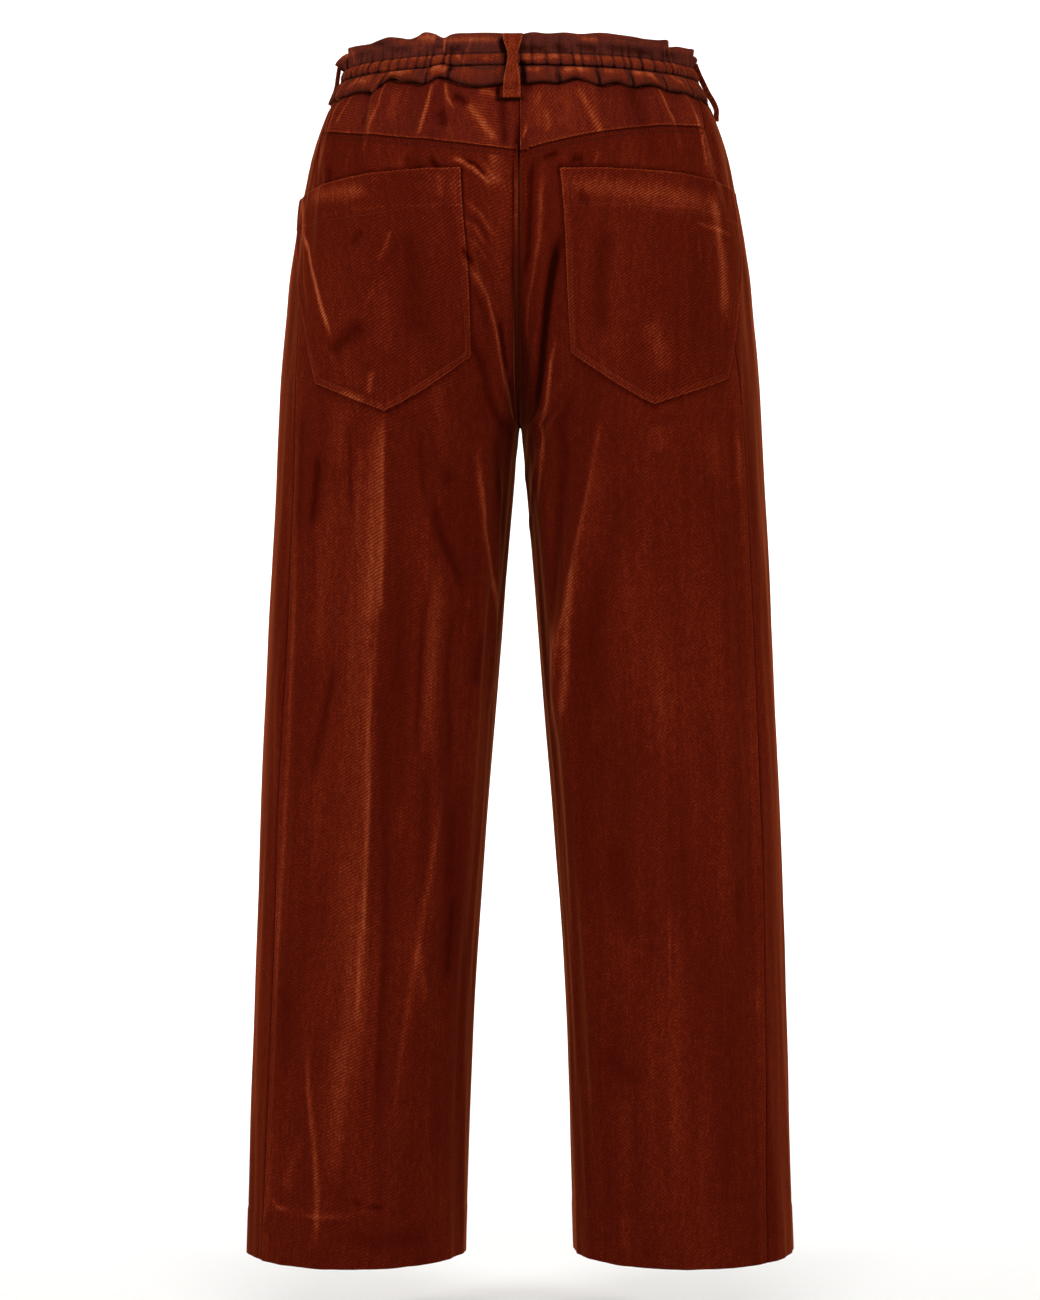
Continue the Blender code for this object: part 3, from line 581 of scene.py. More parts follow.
def on_cloth(side, turn, z, lift=0.0, pile_and_light=0.0):
    """Places on a half's outer face, moved out by lift mm, the outward directions, and the pile with the
    painted light and shade there.
    """
    turn, z = np.broadcast_arrays(np.asarray(turn, float), np.asarray(z, float))
    away = outward(turn, z)
    # the crest of each half is round where it meets its neighbour, and creases die away there
    at_seam = from_centre_seam(turn, z, 5)
    sharp = at_seam * along_lines(CREASES, side, turn, z)
    depth = broad_folds(side, turn, z) + sharp + at_seam * unevenness(side, turn, z)
    point = form(turn, z) + away * (depth + lift)[..., None]
    inside = (z > CROTCH) & (turn >= 0) & (turn <= 360)
    point[..., 0] = np.where(inside, np.maximum(point[..., 0], 0), point[..., 0]) + SEAM_GAP / 2
    if side == "right":
        point[..., 0] *= -1
        away = away * (-1, 1, 1)
    # the colour takes a painted highlight on raised creases and painted shade in sunk ones, besides the marks
    return point * MM, away, pile_and_light + CREASE_LIGHT_AND_SHADE * sharp + pile_and_light_marks(side, turn, z)


print("marks of the pile:", len(PILE_AND_LIGHT_MARKS))

# %% [markdown]
# ## Making a sheet of cloth
# A cut piece starts as what it is before sewing: a flat sheet. A grid primitive is that sheet, and each of
# its crossings is then laid on its place on the body. Its UV map keeps the distances along the cloth in
# metres, so that the weave and the nap follow the piece as it turns. Solidify gives the cloth its thickness
# inwards, with the plain back of the velvet as a second material.

# %% Helpers for a sheet of cloth
CLOTH = 1.5 * MM


def alone(obj):
    """Select one object and nothing else."""
    bpy.ops.object.select_all(action="DESELECT")
    obj.select_set(True)
    bpy.context.view_layer.objects.active = obj


def distance_along(places, axis):
    """How far each crossing is along its row or column of the cloth, in metres."""
    steps = np.linalg.norm(np.diff(places, axis=axis), axis=-1)
    first = np.zeros_like(np.take(steps, [0], axis=axis))
    return np.concatenate([first, np.cumsum(steps, axis=axis)], axis=axis)


def grid_on(places, name):
    """A flat grid with each crossing moved to its place, and the row and the column of each point."""
    rows, columns = places.shape[:2]
    bpy.ops.object.select_all(action="DESELECT")
    bpy.ops.mesh.primitive_grid_add(x_subdivisions=columns - 1, y_subdivisions=rows - 1, size=1)
    sheet = bpy.context.object
    sheet.name = sheet.data.name = name
    points = sheet.data.vertices
    flat = np.empty(len(points) * 3)
    points.foreach_get("co", flat)
    flat = flat.reshape(-1, 3)
    column = np.rint((flat[:, 0] + 0.5) * (columns - 1)).astype(int)
    row = np.rint((0.5 - flat[:, 1]) * (rows - 1)).astype(int)
    points.foreach_set("co", places[row, column].ravel())
    return sheet, row, column


def keep_map(mesh, across, down):
    """Store how far each point is across and down the cloth, in metres, as the UV map."""
    corner = np.empty(len(mesh.loops), int)
    mesh.loops.foreach_get("vertex_index", corner)
    mesh.uv_layers[0].name = "cloth"
    mesh.uv_layers[0].data.foreach_set("uv", np.stack([across, -down], -1)[corner].ravel())


def keep_pile_and_light(mesh, values):
    """Store the marks of the pile and of the painted light and shade on the points of a mesh."""
    pile_and_light = mesh.attributes.new("pile_and_light", "FLOAT", "POINT")
    pile_and_light.data.foreach_set("value", np.ascontiguousarray(values, np.float32))


def lay_cloth(name, places, away, pile_and_light, face, back, thick=CLOTH, smooth=55):
    """A sheet with one crossing for each place, thickened inwards."""
    rows, columns = places.shape[:2]
    cloth, row, column = grid_on(places, name)
    mesh = cloth.data
    across = distance_along(places, 1)
    across -= across[:, [columns // 2]]
    # seen from outside the map runs to the right, so that the twill slants the same way on all the pieces
    along = places[:, columns // 2 + 1] - places[:, columns // 2 - 1]
    if (np.cross(along, (0, 0, 1)) * away[:, columns // 2]).sum() < 0:
        across = -across
    down = distance_along(places, 0)
    keep_map(mesh, across[row, column], down[row, column])
    keep_pile_and_light(mesh, np.broadcast_to(pile_and_light, places.shape[:2])[row, column])
    mesh.update()
    normals = np.empty(len(mesh.polygons) * 3)
    mesh.polygons.foreach_get("normal", normals)
    first = np.array([p.vertices[0] for p in mesh.polygons])
    if (normals.reshape(-1, 3) * away[row, column][first]).sum() < 0:
        mesh.flip_normals()
    mesh.materials.append(face)
    mesh.materials.append(back)
    alone(cloth)
    thickness = cloth.modifiers.new("cloth thickness", "SOLIDIFY")
    thickness.thickness = thick
    thickness.offset = -1
    thickness.material_offset = 1
    bpy.ops.object.modifier_apply(modifier=thickness.name)
    bpy.ops.object.shade_smooth_by_angle(angle=math.radians(smooth))
    area = sum(p.area for p in cloth.data.polygons) / 2
    print(f"{name}: {len(cloth.data.polygons) * 2} triangles, cloth {area:.4f} m2, "
          f"{abs(across[rows // 2, -1] - across[rows // 2, 0]):.3f} x {down[-1, columns // 2]:.3f} m")
    return cloth


# %% [markdown]
# ## The finish: rust brown cotton velvet
# Velvet is a twill ground with a short dense pile. Light that strikes the pile along its tips is scattered
# to the eye, so it glows where it turns away and stays dark where it faces us. In Blender that is the sheen
# of the Principled shader over a dark, very rough base. Wearing and hanging press the pile down in long
# streaks and patches, which look lighter or darker, and the twill shows through as fine slanting lines.

# %% Helpers for materials
def linear(colour):
    """An sRGB hex colour as linear RGBA."""
    parts = [int(colour[k:k + 2], 16) / 255 for k in (1, 3, 5)]
    return [p / 12.92 if p <= 0.04045 else ((p + 0.055) / 1.055) ** 2.4 for p in parts] + [1.0]


def node(tree, kind, links=None, sockets=None, **settings):
    """Add a node, set it, and link its inputs from other nodes' outputs."""
    made = tree.nodes.new(kind)
    for name, value in settings.items():
        setattr(made, name, value)
    for name, value in (sockets or {}).items():
        made.inputs[name].default_value = value
    for name, source in (links or {}).items():
        tree.links.new(source, made.inputs[name])
    return made


def new_material(name, settings):
    """A material, its node tree and its Principled shader with the settings made."""
    made = bpy.data.materials.new(name)
    made.use_nodes = True
    shader = made.node_tree.nodes["Principled BSDF"]
    for socket, value in settings.items():
        shader.inputs[socket].default_value = value
    return made, made.node_tree, shader


def ramp(tree, source, stops):
    """A colour ramp with its stops as place and colour."""
    made = node(tree, "ShaderNodeValToRGB", {"Fac": source})
    elements = made.color_ramp.elements
    while len(elements) < len(stops):
        elements.new(0.5)
    for element, (place, colour) in zip(elements, stops):
        element.position = place
        element.color = linear(colour)
    return made.outputs["Color"]


# %% Velvet
TWILL_PITCH = 2.4 * MM  # the real lines are about 2.1 mm apart, which is too fine for the picture
# width and length of the nap's marks in metres, and how much each kind counts
NAP = ((0.060, 0.200, 0.22), (0.0075, 0.130, 0.11), (0.0030, 0.009, 0.12), (0.0016, 0.0016, 0.24))
VELVET_STOPS = ((0.06, "#1E0401"), (0.28, "#350802"), (0.50, "#4B1107"), (0.60, "#5C1A0B"), (0.72, "#732B15"),
                (0.90, "#964829"))


def velvet(name, twill_slant, ground, stops=VELVET_STOPS, seed=0.0):
    """Velvet with its twill lines at a slant in degrees from level. Ground is how much they show."""
    made, tree, shader = new_material(name, {
        "Roughness": 1.0, "Specular IOR Level": 0.0,
        "Sheen Weight": 0.7, "Sheen Roughness": 0.30, "Sheen Tint": linear("#B05A34")})
    cloth_map = node(tree, "ShaderNodeUVMap", uv_map="cloth").outputs["UV"]

    # the noises have a middle of one half, and so has their weighted sum
    # the attribute holds the marks of the pile and the painted light and shade
    pile_and_light = node(tree, "ShaderNodeAttribute", attribute_name="pile_and_light").outputs["Fac"]
    rest = 0.5 - sum(weight for _, _, weight in NAP) / 2
    nap_and_light = node(tree, "ShaderNodeMath", {0: pile_and_light}, {1: rest}, operation="ADD").outputs["Value"]
    for k, (width, length, weight) in enumerate(NAP):
        place = node(tree, "ShaderNodeMapping", {"Vector": cloth_map}, {
            "Location": (seed + 3.7 * k, seed * 1.3, 0), "Scale": (1 / width, 1 / length, 1)})
        noise = node(tree, "ShaderNodeTexNoise", {"Vector": place.outputs["Vector"]}, {
            "Scale": 1.0, "Detail": 2.0 if k < 2 else 0.0, "Roughness": 0.5})
        nap_and_light = node(tree, "ShaderNodeMath", {0: noise.outputs["Fac"], 2: nap_and_light}, {1: weight},
                   operation="MULTIPLY_ADD").outputs["Value"]

    lean = node(tree, "ShaderNodeMapping", {"Vector": cloth_map}, {
        "Rotation": (0, 0, math.radians(90 - twill_slant))})
    # a wave texture repeats every pi / 10 at scale 1
    lines = node(tree, "ShaderNodeTexWave", {"Vector": lean.outputs["Vector"]}, {
        "Scale": math.pi / 10 / TWILL_PITCH,
        "Distortion": 1.2, "Detail": 1.0, "Detail Scale": 2.0}).outputs["Fac"]

    # where the colour is lighter, from pressed pile and from painted light, the twill ground shows more
    between = {"Value": lines}
    for end, on_dark, on_light in (("To Min", -0.12, -0.38), ("To Max", 0.10, 0.28)):
        between[end] = node(tree, "ShaderNodeMapRange", {"Value": nap_and_light}, {
            "From Min": 0.42, "From Max": 0.70,
            "To Min": 1 + on_dark * ground, "To Max": 1 + on_light * ground}).outputs["Result"]
    shade = node(tree, "ShaderNodeMapRange", between)
    lined = node(tree, "ShaderNodeVectorMath", {
        "Vector": ramp(tree, nap_and_light, stops), "Scale": shade.outputs["Result"]}, operation="SCALE")
    tree.links.new(lined.outputs["Vector"], shader.inputs["Base Color"])

    raised = node(tree, "ShaderNodeMix", {"A": nap_and_light, "B": lines}, {"Factor": 0.15})
    bump = node(tree, "ShaderNodeBump", {"Height": raised.outputs["Result"]}, {
        "Strength": 0.4, "Distance": 0.0012})
    tree.links.new(bump.outputs["Normal"], shader.inputs["Normal"])
    return made


velvet_panels = velvet("velvet_pile_lengthwise", 34, 0.9)
# the yoke's halves are cut at different slants to the grain, and its stops paint a browner, lighter sheen
YOKE_SHEEN_STOPS = ((0.06, "#1E0502"), (0.28, "#370A04"), (0.48, "#50150C"), (0.60, "#66200E"), (0.74, "#7E3319"),
              (0.92, "#A04E2E"))
velvet_yoke = {"left": velvet("velvet_pile_yoke_left", -14, 1.2, YOKE_SHEEN_STOPS, seed=2.0),
               "right": velvet("velvet_pile_yoke_right", 54, 1.2, YOKE_SHEEN_STOPS, seed=2.5)}
velvet_pocket = velvet("velvet_pile_pocket", 34, 1.4, seed=4.0)
BAND_STOPS = ((0.06, "#1A0603"), (0.26, "#33110B"), (0.42, "#461E17"), (0.50, "#521B10"), (0.62, "#682411"),
              (0.78, "#883A1F"), (0.95, "#A85634"))
velvet_band = velvet("velvet_pile_gathered", 34, 0.5, BAND_STOPS, seed=6.0)
# on the frill, where the band is folded over, the stops paint the browner sheen of its pile
FRILL_SHEEN_STOPS = ((0.06, "#1A0603"), (0.26, "#33120C"), (0.42, "#461E17"), (0.50, "#502018"), (0.62, "#682817"),
               (0.80, "#8A4026"))
velvet_frill = velvet("velvet_pile_frill", 34, 0.4, FRILL_SHEEN_STOPS, seed=7.0)
velvet_loop = velvet("velvet_pile_narrow_strip", 60, 0.6, seed=8.0)

# %% [markdown]
# The back of velvet is a plain cotton weave without pile. It is paler and flatter than the face, and shows
# only inside the waist and the hems. A noise stretched both ways would do for its threads, but two crossed
# waves are closer to a weave.

# %% Plain back of the cloth, and thread
THREAD = 0.9 * MM  # drawn coarser than the real 0.4 mm, to show at all


def woven_back(name):
    """A plain weave, from two waves that cross."""
    made, tree, shader = new_material(name, {"Roughness": 0.95, "Specular IOR Level": 0.1})
    cloth_map = node(tree, "ShaderNodeUVMap", uv_map="cloth").outputs["UV"]
    waves = [node(tree, "ShaderNodeTexWave", {"Vector": cloth_map}, {"Scale": math.pi / 10 / THREAD},
                  bands_direction=way).outputs["Fac"] for way in ("X", "Y")]
    weave = node(tree, "ShaderNodeMath", {0: waves[0], 1: waves[1]}, operation="MULTIPLY").outputs["Value"]
    tree.links.new(ramp(tree, weave, ((0.0, "#3E150B"), (1.0, "#6A2A1A"))), shader.inputs["Base Color"])
    bump = node(tree, "ShaderNodeBump", {"Height": weave}, {"Strength": 0.4, "Distance": 0.0003})
    tree.links.new(bump.outputs["Normal"], shader.inputs["Normal"])
    return made


def sewing_thread(name):
    """Polyester thread, a little smoother and lighter than the pile it lies in."""
    made, tree, shader = new_material(name, {"Roughness": 0.7, "Specular IOR Level": 0.1})
    place = node(tree, "ShaderNodeTexCoord").outputs["Object"]
    mottle = node(tree, "ShaderNodeTexNoise", {"Vector": place}, {"Scale": 900.0, "Detail": 2.0})
    colour = ramp(tree, mottle.outputs["Fac"], ((0.3, "#48140A"), (0.7, "#682A1A")))
    tree.links.new(colour, shader.inputs["Base Color"])
    return made


cotton_back = woven_back("cotton_velvet_back")
thread = sewing_thread("polyester_thread")

# %% [markdown]
# ## Backs
# The seam under the yoke bends down to the centre back, and the cloth's cross grain follows it. Each back
# runs from there to the hem, between the centre back or inseam and the side seam. The edges roll in where
# they are sewn, and the seam allowance behind the side seam, the two rows of stitches under the yoke and
# the turned-up hem all show as soft relief. That relief is in the mesh, because it catches the light.

# %% Distances from the edges, and their relief
YOKE_AT_SIDE = -48.0  # the height of the yoke's lower seam at the side seam
YOKE_DIP = 28.0  # and how much lower it is at the centre back
YOKE_CURVE = {"left": 1.05, "right": 2.0}
DIP_GONE = -250.0  # the height from where the grain is level
HEM_DEEP = 39.0  # how far the hem is turned up
EDGE_STEPS = [0, 0.35, 0.7, 1.1, 1.6, 2.2, 3.0, 4.0, 5.2, 6.6, 8.2]  # mm from an edge, closer at the edge
HEM_STEPS = [0, 0.6, 1.4, 2.6, 4.2]  # mm above the hem
LAP = [-4.5, -2.2, -0.7, -0.3]  # an allowance that runs on behind the neighbour, in mm past the seam


def spread(length, step, fine_start=True, edge=EDGE_STEPS, lap_start=False, lap_end=False):
    """Places from 0 to length, close together at the ends, and past them where there is an allowance."""
    first = np.array((LAP if lap_start else []) + (edge if fine_start else [0.0]))
    last = length - np.array((LAP if lap_end else []) + edge)[::-1]
    inner = last[0] - first[-1]
    count = max(1, int(round(inner / step)))
    middle = first[-1] + inner * np.arange(1, count) / count
    return np.concatenate([first, middle, last])


def roll(apart, deep=1.1, wide=1.0, under=2.3):
    """A sewn edge turns in, and past the seam its allowance lies under the neighbour."""
    edge = -deep * np.exp(-((np.maximum(apart, 0) / wide) ** 1.2))
    return edge - (under - deep) * ease(-apart / 0.6)


def groove(apart, deep, wide):
    """A soft groove along a line."""
    return -deep * np.exp(-((apart / wide) ** 2))


def plateau(apart, high, start, end, soft=1.2):
    """Cloth lies higher between two distances, where an allowance lies behind it."""
    return high * ease((apart - start) / soft + 0.5) * ease((end - apart) / soft + 0.5)


def mark(apart, at, wide):
    """1 at a distance, dying away on both sides."""
    return np.exp(-(((apart - at) / wide) ** 2))


def yoke_dip(side, share):
    """How far the yoke's lower seam has come down, by the share of the way to the side seam."""
    return YOKE_DIP * (1 - np.clip(share, 0, 1)) ** YOKE_CURVE[side]


def grain_height(side, row, share):
    """The height of a grain line of a back, which follows the yoke seam and is level further down."""
    return row - yoke_dip(side, share) * ease((row - DIP_GONE) / (YOKE_AT_SIDE - DIP_GONE))


def seam_gap_turn(z):
    """Half the gap at a side seam, in degrees."""
    return np.degrees(SEAM_GAP / 2 / (SIZE["outer"](z) - SIZE["crest"](z)))


# %% The pockets' outline, and the shade beside it
# each corner is a turn and a height: top inner, top outer, foot outer, tip, foot inner
POCKETS = {
    "left": ((34.5, -90.5), (167, -104), (129.5, -262), (94.5, -285.5), (43, -241)),
    "right": ((23, -91), (161, -99.5), (133, -257.5), (94, -280), (44, -238)),
}
POCKET_ARCH = 4.0  # how far the mouth curves up
POCKET_LIFT = 2.8
POCKET_STITCH = 6.0  # from the edge to the row of stitches
FACING = 31.0
POCKET_WIDE, POCKET_TALL = 150.0, 172.0


def pocket_turns(side, across, down):
    """Turn and height of a pocket's place."""
    across, down = np.broadcast_arrays(np.asarray(across, float), np.asarray(down, float))
    top_inner, top_outer, foot_outer, tip, foot_inner = np.array(POCKETS[side])
    arch = POCKET_ARCH * np.sin(math.pi * across)
    part = np.where(across <= 0.5, 2 * across, 2 * across - 1)
    place = []
    for k, raised in enumerate((0, arch)):
        foot = np.where(across <= 0.5, foot_inner[k] + (tip[k] - foot_inner[k]) * part,
                        tip[k] + (foot_outer[k] - tip[k]) * part)
        top = top_inner[k] + (top_outer[k] - top_inner[k]) * across + raised
        place.append(top + (foot - top) * down)
    return place


def nearest(points, line):
    """How far points are from a line of close points, in millimetres."""
    apart = np.full(len(points), 1e9)
    for part in np.array_split(line, max(1, len(line) // 60)):
        apart = np.minimum(apart, np.linalg.norm(points[:, None, :] - part[None, :, :], axis=-1).min(1))
    return apart / MM


def pocket_edges(side):
    """The pocket's sewn edges and its mouth, as places on the seat."""
    line = np.linspace(0, 1, 400)
    ways = ((0, line), (1, line), (line, 1))
    sewn = [on_cloth(side, *pocket_turns(side, across, down))[0] for across, down in ways]
    return np.concatenate(sewn), on_cloth(side, *pocket_turns(side, line, 0))[0]


def beside_pocket(side, places):
    """Painted shadow on the seat under a pocket's edges, darkest above its mouth."""
    sewn, mouth = pocket_edges(side)
    shade = np.zeros(places.shape[:2])
    # only the part of the seat that the pockets lie on is measured, which saves time
    near = (places[..., 2] < -0.070) & (places[..., 2] > -0.300) & (places[..., 1] > -0.02)
    shade[near] = -0.16 * mark(nearest(places[near], sewn), 0, 1.6)
    shade[near] -= 0.26 * mark(nearest(places[near], mouth), 0, 2.2)
    return shade


# %% Make the backs
STITCH_ROWS = (2.6, 6.0)  # rows of stitches below the yoke seam, in mm
# painted shade on the left side of the centre back seam, and a painted highlight on the right side's edge
CENTRE_SHADE = {"left": -0.22, "right": 0.08}  # the left side of the centre back seam lies in shade
BACK_WIDE = 215.0  # a back's usual width round the leg, in mm
# mm below the yoke seam, close together over the two rows of stitches, and even further down
UNDER_YOKE = [0, 0.4, 0.8, 1.3, 1.9, 2.6, 3.3, 4.0, 4.7, 5.4, 6.0, 6.6, 7.3, 8.2, 9.2, 10.4, 12, 13.8]
BACK_EVEN = 16.0


def back_place(side, share, row):
    """A back's place by its share of the way to the side seam and its grain line."""
    share, row = np.broadcast_arrays(np.asarray(share, float), np.asarray(row, float))
    z = grain_height(side, row, share)
    gap = seam_gap_turn(z)
    first = np.where(z <= CROTCH, SEAM["inseam"](z) + gap, 0.0)
    last = SEAM[side](z) - gap
    turn = first + (last - first) * share
    from_side = (last - turn) * MM_PER_DEGREE
    from_middle = (turn - first) * MM_PER_DEGREE
    below_yoke = YOKE_AT_SIDE - SEAM_GAP / 2 - row
    above_hem = z - HEM
    seat = ease((-z - 60) / 50) * ease((z + 330) / 60)  # where the seat's cleft is
    lift = roll(from_side, 0.9) + roll(below_yoke, 0.8)
    lift += plateau(from_side, 0.55, 0.6, 13.0, 2.4) * ease(-(z + 60) / 60)
    # at the centre the right allowance lies under the left one
    lift += roll(from_middle, 0.9, under=2.3 if side == "left" else 4.4)
    if side == "left":  # the left seat turns in deep at the centre back, and the right one keeps its edge
        lift += groove(from_middle, 6.5, 7.0) * seat
    else:
        lift += groove(from_middle, 0.8, 3.0) * seat
    lift += plateau(below_yoke, 0.35, 0.3, 10.0, 1.6)
    for stitched in STITCH_ROWS:
        lift += groove(below_yoke - stitched, 0.45, 0.9)
    lift += plateau(above_hem, 0.35, -5, HEM_DEEP, 2.0) + groove(above_hem - HEM_DEEP, 0.25, 1.2)
    # painted highlight along the side seam's edge and, fainter, over its allowance; painted shade and
    # highlight at the centre back; painted shade under the yoke seam and along the two rows of stitches
    pile_and_light = 0.15 * mark(from_side, 0.3, 0.9) + CENTRE_SHADE[side] * mark(from_middle, 0.3, 1.1)
    pile_and_light = pile_and_light - 0.30 * mark(below_yoke, 0.6, 1.1) + 0.05 * plateau(from_side, 1, 1, 12, 3)
    pile_and_light = pile_and_light - sum(0.20 * mark(below_yoke, stitched, 0.7) for stitched in STITCH_ROWS)
    return on_cloth(side, turn, z, lift, pile_and_light)


backs = {}
for side in ("left", "right"):
    rows = YOKE_AT_SIDE - SEAM_GAP / 2 - np.concatenate([
        LAP + UNDER_YOKE, spread(YOKE_AT_SIDE - HEM - BACK_EVEN, 3.8, False, HEM_STEPS) + BACK_EVEN])
    shares = spread(BACK_WIDE, 2.1, lap_start=True, lap_end=True) / BACK_WIDE
    places, away, pile_and_light = back_place(side, shares[None, :], rows[:, None])
    # painted shadow round the pockets
    pile_and_light = pile_and_light + beside_pocket(side, places)
    backs[side] = lay_cloth(f"velvet_back_{side}", places, away, pile_and_light, velvet_panels, cotton_back)
    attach(backs[side], "root")
    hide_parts(f"back_{side}")

# %% [markdown]
# ## The waist seam
# The gathers pull the waist seam up and down, so it is a wavy line. Its height is set at points round the
# waist, read from the seam's own waves at the back and made up alike in front. The band, the yoke and the
# fronts all take it from here, so they still meet.

# %% The seam's waves
# share of the way round from the centre back by the left side, and height
WAIST_SEAM = np.array([
    (0, -22), (0.011, -21.4), (0.035, -23.4), (0.052, -19.4), (0.062, -15.4), (0.070, -13.9), (0.0755, -16.6),
    (0.081, -19.2), (0.090, -17.0), (0.104, -15.4), (0.126, -14.8), (0.1315, -21.6), (0.145, -20.8),
    (0.165, -20.2), (0.182, -22.6), (0.195, -23.0), (0.215, -21.4), (0.232, -23.6), (0.25, -22.4),
    (0.268, -24.0), (0.286, -20.8), (0.305, -23.4), (0.322, -21.0), (0.338, -23.6), (0.357, -20.6),
    (0.377, -23.4), (0.395, -20.4), (0.412, -23.2), (0.43, -21.2), (0.449, -23.6), (0.466, -20.6),
    (0.483, -23.2), (0.5, -21.2), (0.517, -23.4), (0.537, -20.4), (0.556, -23.2), (0.572, -21.4),
    (0.589, -23.8), (0.607, -20.6), (0.625, -23.2), (0.645, -20.6), (0.664, -23.6), (0.681, -21.4),
    (0.698, -23.8), (0.716, -20.8), (0.735, -23.4), (0.76, -22.0), (0.784, -24.2), (0.802, -22.0),
    (0.820, -22.4), (0.835, -20.4), (0.862, -20.8), (0.880, -17.4), (0.889, -18.0), (0.900, -20.4),
    (0.917, -17.6), (0.934, -21.0), (0.955, -16.0), (0.968, -20.2), (0.982, -19.8), (1.0, -22),
])


def round_line(table, column):
    """A smooth closed curve round the waist, as a function of the share."""
    share = np.concatenate([table[:-1, 0] - 1, table[:-1, 0], table[:, 0] + 1])
    value = np.concatenate([table[:-1, column], table[:-1, column], table[:, column]])
    line = smooth_line(share, value)
    return lambda at: line(np.asarray(at, float) % 1.0)


waist_seam = round_line(WAIST_SEAM, 1)


def share_round(side, turn):
    """Where a turn is round the waist."""
    return turn / 720 if side == "left" else 1 - turn / 720


print("waist seam from", WAIST_SEAM[:, 1].min(), "to", WAIST_SEAM[:, 1].max(), "mm")

# %% [markdown]
# ## Fronts and yoke
# A front is one piece from the waist seam to the hem, because only the back has a yoke. The two yoke halves
# fill the space between the waist seam and the curved seam on the seat. Both hang from the gathers, so the
# top few millimetres of each bulge between the tucks.

# %% Make the fronts
FRONT_WIDE = 245.0  # a front's usual width round the leg, in mm
FRONT_TOP = -22.5  # the usual height of the waist seam, where a front's rows begin
LEVEL_FROM = -90.0  # above this a front's rows follow the waves of the seam, and below it they are level
UNDER_WAIST = [0, 0.6, 1.3, 2.1, 3.1, 4.3, 5.8, 7.6, 9.6, 12, 14.5, 17]  # mm below the waist seam
FRONT_EVEN = 20.0
BAND_LAP = [-15.5, -12.5, -9.5, -7.0]  # the allowance at the waist is longer than the others
WAIST_ROUND = 780.0  # mm
# shares of the way round the waist at which the band is tucked in
TUCKS = (0.011, 0.061, 0.0815, 0.129, 0.182, 0.209, 0.232, 0.268, 0.305, 0.338, 0.377, 0.412, 0.449, 0.483,
         0.517, 0.556, 0.589, 0.625, 0.664, 0.698, 0.735, 0.784, 0.822, 0.862, 0.9, 0.933, 0.967, 0.9975)


def between_tucks(share):
    """0 at a tuck of the waistband, and 1 half way to the next."""
    share = np.asarray(share, float) % 1.0
    marks = np.array((TUCKS[-1] - 1,) + TUCKS + (TUCKS[0] + 1,))
    k = np.clip(np.searchsorted(marks, share, side="right") - 1, 0, len(marks) - 2)
    t = (share - marks[k]) / (marks[k + 1] - marks[k])
    return np.abs(np.sin(math.pi * t)) ** 0.4


def under_band(side, turn, below):
    """Relief of a panel just below the waist seam."""
    fullness = between_tucks(share_round(side, turn))
    # the allowance runs up inside the band, and its end lies against the band's inner face
    up_inside = 3.7 * ease((-below - 4.5) / 5.0)
    bulge = (1.6 * fullness - 1.2) * np.exp(-np.maximum(below, 0) / 8.0)
    return bulge + roll(below, 1.6, 1.8, 5.0) + up_inside


def under_seam(below):
    """Painted shadow of the band's puffs, just below the seam."""
    return -0.30 * mark(below, 0, 1.3) - 0.05 * mark(below, 3, 4)


def near_tuck(share, wide):
    """1 at a tuck, dying away within a width in mm."""
    share = np.asarray(share, float) % 1.0
    total = 0.0
    for tuck in TUCKS:
        apart = np.abs(share - tuck)
        total = total + np.exp(-((np.minimum(apart, 1 - apart) * WAIST_ROUND / wide) ** 2))
    return total


def front_place(side, share, row):
    """A front's place by its share of the way from the side seam and its row."""
    share, row = np.broadcast_arrays(np.asarray(share, float), np.asarray(row, float))
    first_guess = SEAM[side](row)
    last_guess = np.where(row <= CROTCH, 360 + SEAM["inseam"](row), 360.0)
    turn = first_guess + (last_guess - first_guess) * share
    top = waist_seam(share_round(side, turn)) - SEAM_GAP / 2
    waved = top + (row - FRONT_TOP) * (LEVEL_FROM - top) / (LEVEL_FROM - FRONT_TOP)
    z = np.where(row > LEVEL_FROM, waved, row)
    gap = seam_gap_turn(z)
    first = SEAM[side](z) + gap
    last = np.where(z <= CROTCH, 360 + SEAM["inseam"](z) - gap, 360.0)
    turn = first + (last - first) * share
    from_side, from_middle = (turn - first) * MM_PER_DEGREE, (last - turn) * MM_PER_DEGREE
    above_hem = z - HEM
    lift = roll(from_side, 0.9) + roll(from_middle, 0.9) + under_band(side, turn, top - z)
    lift += plateau(above_hem, 0.35, -5, HEM_DEEP, 2.0) + groove(above_hem - HEM_DEEP, 0.25, 1.2)
    # painted shade along the side seam, a painted highlight along the inner edge, and the painted shadow
    # under the band
    pile_and_light = -0.14 * mark(from_side, 0.3, 1.2) + 0.08 * mark(from_middle, 0.6, 0.9) + under_seam(top - z)
    return on_cloth(side, turn, z, lift, pile_and_light)


fronts = {}
for side in ("left", "right"):
    rows = FRONT_TOP - np.concatenate([
        BAND_LAP + LAP + UNDER_WAIST,
        spread(FRONT_TOP - HEM - FRONT_EVEN, 4.4, False, HEM_STEPS) + FRONT_EVEN])
    shares = spread(FRONT_WIDE, 3.0, lap_end=side == "left") / FRONT_WIDE
    places, away, pile_and_light = front_place(side, shares[None, :], rows[:, None])
    fronts[side] = lay_cloth(f"velvet_front_{side}", places, away, pile_and_light, velvet_panels, cotton_back)
    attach(fronts[side], "root")
    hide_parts(f"front_{side}")

# %% Make the yoke
YOKE_WIDE = 180.0  # its usual sizes, in mm
YOKE_TALL = 42.0


